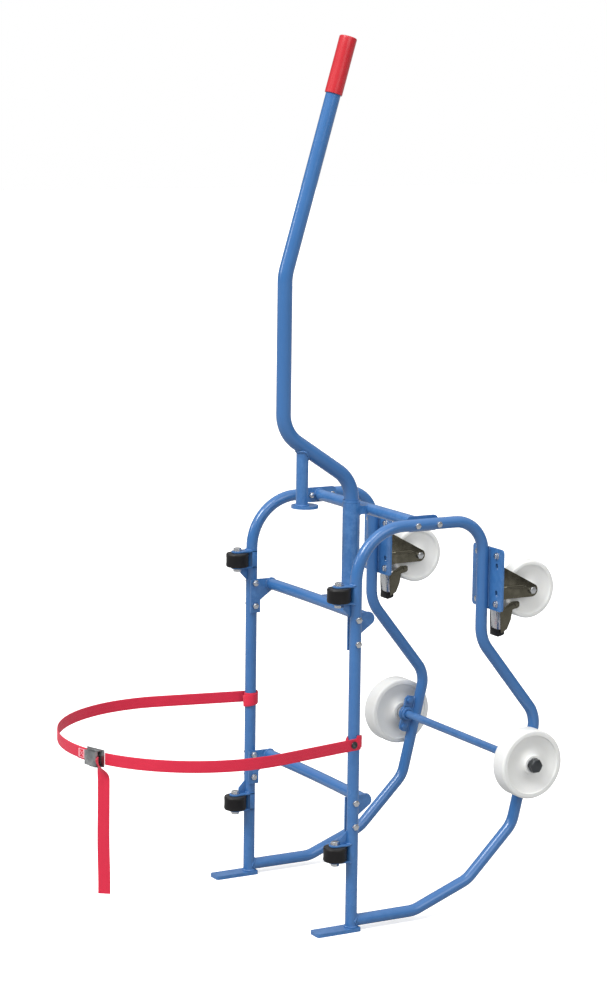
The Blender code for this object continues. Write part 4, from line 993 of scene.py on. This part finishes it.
def carve(bm, cutter):
    # takes one closed mesh out of another and gives back the rest
    made = []
    for shape in (bm, cutter):
        bmesh.ops.recalc_face_normals(shape, faces=shape.faces)
        mesh = bpy.data.meshes.new("carving")
        shape.to_mesh(mesh)
        shape.free()
        obj = bpy.data.objects.new("carving", mesh)
        bpy.context.scene.collection.objects.link(obj)
        made.append(obj)
    cut = made[0].modifiers.new("cut", "BOOLEAN")
    cut.operation = "DIFFERENCE"
    cut.solver = "EXACT"
    cut.object = made[1]
    bpy.context.view_layer.update()
    result = bpy.data.meshes.new_from_object(made[0].evaluated_get(bpy.context.evaluated_depsgraph_get()))
    rest = bmesh.new()
    rest.from_mesh(result)
    bpy.data.meshes.remove(result)
    for obj in made:
        mesh = obj.data
        bpy.data.objects.remove(obj)
        bpy.data.meshes.remove(mesh)
    return rest


def fourSpots():
    return [(a * caster["boltX"], b) for a in (1, -1) for b in (1, -1)]


def plateOutline(x, z, width, height, corner):
    corners = [(x - width / 2, z - height / 2), (x + width / 2, z - height / 2), (x + width / 2, z + height / 2),
               (x - width / 2, z + height / 2)]
    return roundedOutline(corners, [corner] * 4)


def casterMount(word, low, way):
    c = caster
    x = way * dolly["postX"]
    bm = bmesh.new()
    slab(bm, plateOutline(x, c["z"], c["mountW"], c["mountH"], 0.008), c["mountNear"], c["mountFar"], "Y")
    softEdges(bm, 0.0007)
    cutter = bmesh.new()
    for dx, up in fourSpots():
        holeZ = c["z"] + up * c["holeZ"]
        outline = arc((x + dx, holeZ + c["holeHalf"] - c["holeR"]), c["holeR"], 0, pi, 14)
        outline += arc((x + dx, holeZ - c["holeHalf"] + c["holeR"]), c["holeR"], pi, 2 * pi, 14)
        slab(cutter, outline, c["mountNear"] - 0.004, c["mountFar"] + 0.004, "Y")
    addPiece(f"mountPlate{word}", carve(bm, cutter), "blueEnamel", f"caster_mount_{low}")
    for n, (dx, up) in enumerate(fourSpots()):
        boltUp(
            f"mountBolt{word}{n + 1}", (x + dx, c["mountNear"], c["z"] + up * c["boltZ"]), (0, -1, 0), 0.0115,
            0.0055,
            f"caster_mount_{low}", stands=False, grip=c["plateFar"] - c["mountNear"], shank=0.004,
        )
    for n, side in enumerate((1, -1)):
        reach = dolly["tubeR"] * 0.6
        path = [Vector((x + side * reach, c["mountNear"] - 0.0008,
            c["z"] + c["mountH"] * (k / 24 - 0.5))) for k in range(25)]
        weld(f"mountWeld{word}{n + 1}", path, acrossX, 0.0024, f"caster_mount_{low}")


def casterTop(word, low, way):
    c = caster
    x = way * dolly["postX"]
    centre = (x, 0, c["z"])
    cap = c["crownFar"] + 0.0003
    def plate(part):
        slab(part, plateOutline(x, c["z"], c["plateW"], c["plateH"], 0.008), c["plateNear"], c["plateFar"], "Y")
    def race(part):
        profile = [(c["headR"] + 0.004, c["plateFar"] - 0.001), (c["headR"] + 0.0032, c["plateFar"] + 0.0012)]
        profile += [(c["headR"] + 0.001, c["plateFar"] + 0.003), (c["headR"], c["headTop"] - 0.0012),
            (c["headR"] - 0.001, c["headTop"])]
        lathe(part, profile, centre, acrossY, 64)
    def kingPin(part):
        profile = [(0.006, c["headTop"] - 0.002), (0.006, cap), (0.010, cap), (0.010, cap + 0.003),
            (0.0085, cap + 0.0047)]
        lathe(part, profile, centre, acrossY, 40)
    bm = merged((plate, 0.0006), (race, 0), (kingPin, 0))
    addPiece(f"casterTop{word}", bm, "zinc", f"caster_top_plate_{low}")


def legOutline():
    c = caster
    axleAt = (c["axleY"], c["axleZ"])
    top = (c["crownNear"], c["z"] + c["crownR"])
    away = Vector((axleAt[0] - top[0], axleAt[1] - top[1]))
    lift = atan2(away.y, away.x) + acos(c["nose"] / away.length)
    outline = [top] + arc(axleAt, c["nose"], lift, radians(-90), 18)
    outline += [(c["crownFar"] + 0.016, axleAt[1] - c["nose"]), (c["crownNear"], axleAt[1] - c["nose"] - 0.004)]
    return outline


def casterFork(word, low, way):
    c = caster
    x = way * dolly["postX"]
    centre = (x, 0, c["z"])
    def crown(part):
        profile = [(0.0063, c["crownNear"]), (c["crownR"] - 0.001, c["crownNear"]),
            (c["crownR"], c["crownNear"] + 0.001),
                   (c["crownR"], c["crownFar"] - 0.0015), (c["crownR"] - 0.002, c["crownFar"]),
                   (0.0063, c["crownFar"])]
        lathe(part, profile, centre, acrossY, 64, True)
    def bridge(part):
        half = c["legIn"] + c["legT"] / 2
        low, high = c["axleZ"] - c["nose"] - 0.002, c["z"] + c["crownR"] * 0.45
        slab(part, [(x - half, low), (x + half, low), (x + half, high), (x - half, high)], c["crownNear"] + 0.0002,
             c["crownFar"] - 0.0002, "Y")
    makers = [(crown, 0), (bridge, 0.0008)]
    for side in (1, -1):
        near = x + side * c["legIn"]
        makers.append((lambda part, near=near,
            side=side: slab(part, legOutline(), near, near + side * c["legT"]), 0.0009))
    def rib(part, side):
        # a pressed ridge along each leg, from the crown towards the axle
        near = x + side * (c["legIn"] + c["legT"] - c["ridgeR"] * 0.2)
        path = [Vector((near, c["crownFar"] + 0.003,
            c["z"] - 0.020)).lerp(Vector((near, c["axleY"] - 0.016, c["z"] - 0.021)), k / 16)
                for k in range(17)]
        sweep(part, path, [c["ridgeR"] * min(1.0, 0.3 + 0.35 * min(k, 16 - k)) for k in range(17)], acrossX, 20)
    for side in (1, -1):
        makers.append((lambda part, side=side: rib(part, side), 0))
    addPiece(f"forkLegs{word}", merged(*makers), "yellowZinc", f"caster_fork_{low}")
    face = c["legIn"] + c["legT"] + 0.0003
    at = Vector((x, c["axleY"], c["axleZ"]))
    bm = merged(
        (lambda part: lathe(part, [(c["axleR"], -face), (c["axleR"], face)], at, acrossX, 32), 0),
        (lambda part: hexHead(part, at + acrossX * face, acrossX, c["pinFlats"], c["pinHead"], True), 0),
        (lambda part: hexHead(part, at - acrossX * face, -acrossX, c["pinFlats"], c["pinHead"]), 0),
    )
    addPiece(f"casterPin{word}", bm, "zinc", f"caster_axle_{low}")
    moulded(f"casterWheel{word}", smallWheel, at, f"caster_wheel_{low}", 80)


def brakeSpot(behind, below):
    return (caster["plateNear"] + behind, caster["z"] - below)


def casterBrake(word, low, way):
    x = way * dolly["postX"]
    inner = brake["cheekIn"]
    cheek = [
        brakeSpot(0.0650, 0.0530), brakeSpot(0.0650, 0.0670), brakeSpot(0.0475, 0.0705),
        brakeSpot(0.0440, 0.0920), brakeSpot(0.0350, 0.1120),
        brakeSpot(0.0190, 0.1210), brakeSpot(0.0170, 0.0790), brakeSpot(0.0190, 0.0690), brakeSpot(0.0450, 0.0530),
    ]
    cheek = roundedOutline(cheek, [0.0055, 0.0055, 0.003, 0.004, 0.003, 0.002, 0.003, 0.004, 0.004], radians(15))
    makers = []
    for side in (1, -1):
        makers.append((lambda part,
            side=side: slab(part, cheek, x + side * inner, x + side * (inner + brake["cheekT"])), 0.0005))
    makers.append((lambda part: lathe(part, [(0.0045, -inner - 0.0032), (0.0045, inner + 0.0032)],
        (x, brake["pivotY"], brake["pivotZ"]), acrossX, 32), 0.0008))
    addPiece(f"brakeCheeks{word}", merged(*makers), "yellowZinc", f"caster_brake_{low}")
    half = brake["treadHalf"]
    tread = [brakeSpot(0.0300, 0.106), brakeSpot(0.0310, 0.121), brakeSpot(0.0175, 0.125), brakeSpot(0.0135, 0.072),
             brakeSpot(0.0170, 0.070), brakeSpot(0.0205, 0.102)]
    makers = [(lambda part: slab(part, tread, x - half, x + half), 0.0008)]
    for side in (1, -1):
        # turned-up sides that join the tread to the cheeks
        flange = [(x + side * (half - 0.002), brakeSpot(0.0150, 0)[0]),
            (x + side * (half - 0.002), brakeSpot(0.0210, 0)[0]),
                  (x + side * (inner + 0.001), brakeSpot(0.0260, 0)[0]),
                  (x + side * (inner + 0.001), brakeSpot(0.0200, 0)[0])]
        makers.append((lambda part,
            line=flange: slab(part, line, caster["z"] - 0.112, caster["z"] - 0.074, "Z"), 0.0004))
    addPiece(f"brakeTread{word}", merged(*makers), "zinc", f"caster_brake_{low}", stands=False)
    pad = [brakeSpot(0.0320, 0.1090), brakeSpot(0.0325, 0.1225), brakeSpot(0.0300, 0.1255),
        brakeSpot(0.0165, 0.1285),
           brakeSpot(0.0145, 0.1260), brakeSpot(0.0150, 0.1130)]
    makers = [(lambda part: slab(part, pad, x - half - 0.0015, x + half + 0.0015), 0.0010)]
    addPiece(f"brakePad{word}", merged(*makers), "rubber", f"caster_brake_{low}", stands=False)


for word, low, way in sides:
    casterMount(word, low, way)
    casterTop(word, low, way)
    casterFork(word, low, way)
    casterBrake(word, low, way)
print("casters")


# strap

strap = {
    "z": 0.405, "width": 0.025, "t": 0.0018, "drumR": 0.2865, "drumY": -0.2224, "lineR": 0.2877, "hitchR": 0.0143,
    "hitchTurn": radians(262), "leave": radians(11.24), "buckle": radians(19.2), "half": 0.025,
    "tailAngle": radians(24.7),
    "tailTurn": radians(27), "tailTop": 0.3867,
    "tailRise": 0.022, "tailOff": 0.0040, "tailSteps": 110, "swayOut": 0.0016, "faceOff": 0.0045,
    "foldShare": 0.16, "foldAside": 0.0085, "foldOut": 0.0155, "foldTwist": radians(62),
    "tailLow": 0.1247, "flatRight": 0.658, "flatLeft": 0.851, "flatTail": 0.285,
}


def strapLine(start, way, turn=1.0):
    # from the buckle round one side of the drum, off to the post and round it
    first = start - pi / 2
    pieces = max(24, round((strap["leave"] - first) / radians(2)))
    line = arc((0, strap["drumY"]), strap["lineR"], first, strap["leave"], pieces)
    line += arc((dolly["postX"], dolly["postY"]), strap["hitchR"], strap["leave"],
        strap["leave"] + strap["hitchTurn"] * turn, 44)
    return [Vector((way * x, y, strap["z"])) for x, y in line]


def ribbon(name, path, widths, finish, node, thick, stands=True, others=(), wide=None, turnOff=0.0):
    # flat webbing with thin rounded edges; widths are the directions across it, one for each point
    wide = wide or strap["width"]
    bm = bmesh.new()
    uvLayer = bm.loops.layers.uv.new("webbing")
    count = 12
    rings, travelled, total = [], [], 0.0
    for i, here in enumerate(path):
        if i:
            total += (here - path[i - 1]).length
        travelled.append(total)
        before, after = path[max(i - 1, 0)], path[min(i + 1, len(path) - 1)]
        along = (after - before).normalized()
        across = (widths[i] - along * along.dot(widths[i])).normalized()
        out = along.cross(across)
        ring = []
        for side in (1, -1):
            for k in range(count + 1):
                place = (k / count - 0.5) * side
                edge = 1 - max(0.0, abs(place) - 0.42) / 0.08 * 0.45
                ring.append(bm.verts.new(here + across * (place * wide) + out * (side * thick / 2 * edge)))
        rings.append(ring)
    size = len(rings[0])
    for i in range(len(rings) - 1):
        for k in range(size):
            j = (k + 1) % size
            face = bm.faces.new((rings[i][k], rings[i][j], rings[i + 1][j], rings[i + 1][k]))
            for loop, (row, place) in zip(face.loops, ((i, k), (i, j), (i + 1, j), (i + 1, k))):
                spot = place if place <= count else size - 1 - place
                loop[uvLayer].uv = (travelled[row], spot / count * wide)
    bm.faces.new(rings[0])
    bm.faces.new(rings[-1])
    return addPiece(name, bm, finish, node, stands, 60, others)


def atBuckle(along, out, angle=None):
    angle = strap["buckle"] if angle is None else angle
    return (out * sin(angle) + along * cos(angle), strap["drumY"] - out * cos(angle) + along * sin(angle))


def stitching(name, rows, node):
    # each stitch is a short raised loop of thread; rows are (start, end, outward) on the webbing
    bm = bmesh.new()
    for start, end, out in rows:
        span = end - start
        count = max(1, round(span.length / 0.0030))
        for k in range(count):
            a, b = start.lerp(end, (k + 0.14) / count), start.lerp(end, (k + 0.86) / count)
            path = [a - out * 0.0003, a.lerp(b, 0.2) + out * 0.0004, a.lerp(b, 0.5) + out * 0.0006,
                    a.lerp(b, 0.8) + out * 0.0004, b - out * 0.0003]
            sweep(bm, path, 0.00065, out, 8)
    addPiece(name, bm, "thread", node, stands=False, sharp=80)


def onDrum(angle, z, out):
    return Vector((out * sin(angle), strap["drumY"] - out * cos(angle), z))


def strapPieces():
    turn = strap["half"] / strap["lineR"]
    right = ribbon("webRight", strapLine(strap["buckle"] + turn, 1), [upZ] * 400, "webbing", "strap_right",
        strap["t"])
    left = ribbon("webLeft", strapLine(-(strap["buckle"] - turn), -1), [upZ] * 400, "webbing", "strap_left",
        strap["t"])
    wraps = []
    for word, low, way in sides:
        # the end comes round the post again, a little aslant, over the first turn
        path = []
        for k in range(45):
            t = k / 44
            angle = strap["leave"] + radians(-22) + radians(292) * t
            reach = strap["hitchR"] + strap["t"] * 1.05
            path.append(Vector((
                way * (dolly["postX"] + reach * cos(angle)), dolly["postY"] + reach * sin(angle),
                strap["z"] + 0.007 - 0.014 * t,
            )))
        wraps.append(ribbon(f"webWrap{word}", path, [upZ] * 45, "webbing", f"strap_{low}", strap["t"],
            stands=False))
    # the left end is doubled back through the buckle and sewn down
    surface = strap["lineR"] + strap["t"] / 2
    lap = [onDrum(strap["buckle"] - turn - radians(0.2) - radians(6.2) * k / 16, strap["z"],
        surface + strap["t"] * 0.55) for k in range(17)]
    sewn = ribbon("webLap", lap, [upZ] * 17, "webbing", "strap_left", strap["t"], stands=False)
    top = surface + strap["t"] * 1.05
    rows = []
    a0, a1 = strap["buckle"] - turn - radians(1.5), strap["buckle"] - turn - radians(5.4)
    z0, z1 = strap["z"] - 0.0085, strap["z"] + 0.0085
    middle = (a0 + a1) / 2
    out = onDrum(middle, 0, 1) - onDrum(middle, 0, 0)
    spots = [onDrum(a0, z0, top), onDrum(a0, z1, top), onDrum(a1, z1, top), onDrum(a1, z0, top)]
    for k in range(4):
        rows.append((spots[k], spots[(k + 1) % 4], out))
    rows += [(spots[0], spots[2], out), (spots[1], spots[3], out)]
    for k in range(3):
        # close zigzag bars across both ends of the box
        for edge in (0, 1):
            angle = a0 + (a1 - a0) * (edge + (k + 1) * 0.05 * (1 - 2 * edge))
            rows.append((onDrum(angle, z0, top), onDrum(angle, z1, top), out))
    stitching("lapStitches", rows, "strap_left")
    return right, left, wraps, sewn


def tailPiece():
    # out over the buckle's cam, folded across its corner, and hanging free
    angle = strap["tailAngle"]
    along = Vector((cos(angle), sin(angle), 0))
    outward = Vector((sin(angle), -cos(angle), 0))
    hang = strap["drumR"] + strap["tailOff"]
    path, widths = [], []
    steps = strap["tailSteps"]
    start = strap["tailTop"] + strap["tailRise"]
    for k in range(steps + 1):
        t = k / steps
        z = start + (strap["tailLow"] - start) * t
        fold = max(0.0, 1 - t / strap["foldShare"])
        fold = fold * fold * (3 - 2 * fold)
        sway = strap["swayOut"] * sin(2.6 * pi * t) * t
        reach = hang + 0.0006 * sin(2 * pi * t) + strap["foldOut"] * fold + strap["faceOff"] * (1 - fold)
        place = atBuckle(sway - strap["foldAside"] * fold, reach, angle)
        path.append(Vector((*place, z)))
        twist = radians(4) * sin(1.7 * pi * t) + strap["foldTwist"] * fold - strap["tailTurn"] * (1 - fold)
        widths.append((along * cos(twist) + outward * sin(twist)).normalized())
    return ribbon("webTail", path, widths, "webbing", "strap_tail", strap["t"])


def buckleParts():
    base = strap["drumR"] + 0.0012
    z, half = strap["z"], 0.018
    pinAt = (0.008, base + 0.002 + 0.0075)
    low, high = base + 0.0005, base + 0.014
    floorLine = [atBuckle(*p) for p in ((-0.0246, base), (0.0246, base), (0.0246, base + 0.002),
        (-0.0246, base + 0.002))]
    cheekLine = [(-0.020, low), (0.020, low), (0.019, high - 0.003), (0.012, high), (-0.004, high),
        (-0.020, low + 0.006)]
    cheekLine = roundedOutline([atBuckle(*p) for p in cheekLine], [0.001, 0.001, 0.002, 0.003, 0.004, 0.002],
        radians(20))
    makers = [(lambda part: slab(part, floorLine, z - half, z + half, "Z"), 0.0005)]
    for side in (1, -1):
        makers.append((
            lambda part, side=side: slab(part, cheekLine, z + side * half, z + side * (half - 0.002), "Z"), 0.0004,
        ))
    addPiece("buckleBody", merged(*makers), "dullZinc", "buckle_frame")
    bm = bmesh.new()
    at = (*atBuckle(*pinAt), z)
    lathe(bm, [(0.0028, -half - 0.001), (0.0028, half + 0.001)], at, upZ, 32)
    softEdges(bm, 0.0006)
    addPiece("bucklePin", bm, "zinc", "buckle_pin")
    inner = half - 0.0026
    outline = arc(pinAt, 0.0058, radians(-110), radians(75), 24)
    outline += [(pinAt[0] - 0.010, pinAt[1] + 0.0078), (pinAt[0] - 0.026, pinAt[1] + 0.0062),
                (pinAt[0] - 0.027, pinAt[1] + 0.0037), (pinAt[0] - 0.010, pinAt[1] + 0.0053),
                (pinAt[0] - 0.0055, pinAt[1] + 0.002)]
    bm = bmesh.new()
    slab(bm, [atBuckle(*p) for p in outline], z - inner, z + inner, "Z")
    softEdges(bm, 0.0005)
    addPiece("buckleCam", bm, "dullZinc", "buckle_lever")


def eyelets():
    # a pressed eyelet holds each hitch to its own webbing, in front of the post
    for word, low, way in sides:
        angle = strap["leave"]
        tangent = Vector((way * -sin(angle), cos(angle), 0)).normalized()
        out = Vector((way * cos(angle), sin(angle), 0))
        foot = Vector((way * dolly["postX"], dolly["postY"], strap["z"])) + out * strap["hitchR"] - tangent * 0.013
        at = foot + out * (strap["t"] * 1.55)
        makers = [
            (lambda part: lathe(part, ringOutline(0.0038, 0.0078, -0.0004, 0.0014), at, out, 48, True), 0.0004),
            (lambda part: lathe(part, [(0.0040, -0.0004), (0.0040, 0.0001)], at, out, 32), 0),
        ]
        addPiece(f"hitchEyelet{word}", merged(*makers), "darkSteel", f"strap_{low}", stands=False)


rightWeb, leftWeb, wrapWebs, lapWeb = strapPieces()
tailWeb = tailPiece()
buckleParts()
eyelets()
print("strap")


# floor, light

studio = {
    "floorSize": 60.0, "floor": (0.80, 0.80, 0.80), "floorBounce": (0.42, 0.42, 0.42), "floorLift": 0.52,
    "skyLow": 0.14, "skyHigh": 0.85, "backdrop": 1.0,
    "suns": [
        # name, direction towards the light, strength, softness in degrees
        ("key", (0.15, -0.80, 0.85), 2.0, 22.0),
        ("fill", (0.95, 0.05, 0.50), 0.80, 40.0),
    ],
    "panels": [
        # name, place, aimed at, size, watts; they give the tubes their bright lines
        ("highPanel", (1.4, -1.2, 4.6), (0, 0, 0.8), 1.6, 45.0),
        ("leftPanel", (-1.8, -4.2, 2.6), (0, 0, 0.9), 1.2, 30.0),
    ],
}


def lightPathMix(tree, seen, cast, target):
    # one shader for what the camera sees, another for what lights the object
    mix = tree.nodes.new("ShaderNodeMixShader")
    ray = tree.nodes.new("ShaderNodeLightPath")
    feed(tree, (ray.outputs["Is Camera Ray"], mix.inputs[0]), (cast, mix.inputs[1]), (seen, mix.inputs[2]),
        (mix.outputs[0], target))


def makeFloor():
    bm = bmesh.new()
    half = studio["floorSize"] / 2
    corners = [bm.verts.new((a * half, b * half, 0)) for a, b in ((-1, -1), (1, -1), (1, 1), (-1, 1))]
    bm.faces.new(corners)
    mesh = bpy.data.meshes.new("studioFloor")
    bm.to_mesh(mesh)
    bm.free()
    made, tree, shader = newMaterial("floorPaper")
    grain = placeGroup(tree, grainGroup, Scale=400.0, Patch=0.6)
    paper = mixColour(tree, grain.outputs["Tone"], studio["floor"], tuple(0.985 * c for c in studio["floor"]))
    feed(tree, (paper, shader.inputs["Base Color"]))
    shader.inputs["Roughness"].default_value = 0.9
    shader.inputs["Specular IOR Level"].default_value = 0.0
    shader.inputs["Emission Color"].default_value = (1, 1, 1, 1)
    shader.inputs["Emission Strength"].default_value = studio["floorLift"]
    bounce = tree.nodes.new("ShaderNodeBsdfDiffuse")
    bounce.inputs["Color"].default_value = (*studio["floorBounce"], 1)
    lightPathMix(tree, shader.outputs[0], bounce.outputs[0], tree.nodes["Material Output"].inputs["Surface"])
    mesh.materials.append(made)
    floorPiece = bpy.data.objects.new("studioFloor", mesh)
    bpy.context.scene.collection.objects.link(floorPiece)


def makeLight():
    world = bpy.data.worlds.new("studio")
    world.use_nodes = True
    tree = world.node_tree
    cast = tree.nodes["Background"]
    cast.inputs["Color"].default_value = (1, 1, 1, 1)
    # dark round the horizon and bright overhead, which draws dark edges on the tubes
    where = tree.nodes.new("ShaderNodeTexCoord")
    split = tree.nodes.new("ShaderNodeSeparateXYZ")
    climb = tree.nodes.new("ShaderNodeMapRange")
    climb.interpolation_type = "SMOOTHSTEP"
    for slot, value in (("From Min", 0.0), ("From Max", 0.9), ("To Min", studio["skyLow"]),
        ("To Max", studio["skyHigh"])):
        climb.inputs[slot].default_value = value
    feed(
        tree, (where.outputs["Generated"], split.inputs[0]), (split.outputs["Z"], climb.inputs["Value"]),
        (climb.outputs["Result"], cast.inputs["Strength"]),
    )
    seen = tree.nodes.new("ShaderNodeBackground")
    seen.inputs["Color"].default_value = (1, 1, 1, 1)
    seen.inputs["Strength"].default_value = studio["backdrop"]
    lightPathMix(tree, seen.outputs[0], cast.outputs[0], tree.nodes["World Output"].inputs["Surface"])
    bpy.context.scene.world = world
    for name, towards, strength, soft in studio["suns"]:
        lamp = bpy.data.lights.new(name, "SUN")
        lamp.energy = strength
        lamp.angle = radians(soft)
        obj = bpy.data.objects.new(name, lamp)
        bpy.context.scene.collection.objects.link(obj)
        obj.rotation_euler = Vector(towards).to_track_quat("Z", "Y").to_euler()
    for name, place, aim, size, watts in studio["panels"]:
        lamp = bpy.data.lights.new(name, "AREA")
        lamp.shape = "DISK"
        lamp.size = size
        lamp.energy = watts
        obj = bpy.data.objects.new(name, lamp)
        bpy.context.scene.collection.objects.link(obj)
        obj.location = place
        obj.rotation_euler = (Vector(aim) - Vector(place)).to_track_quat("-Z", "Y").to_euler()
    bpy.context.scene.view_settings.view_transform = "Standard"
    bpy.context.scene.view_settings.look = "None"


makeFloor()
makeLight()
print("floor and light")
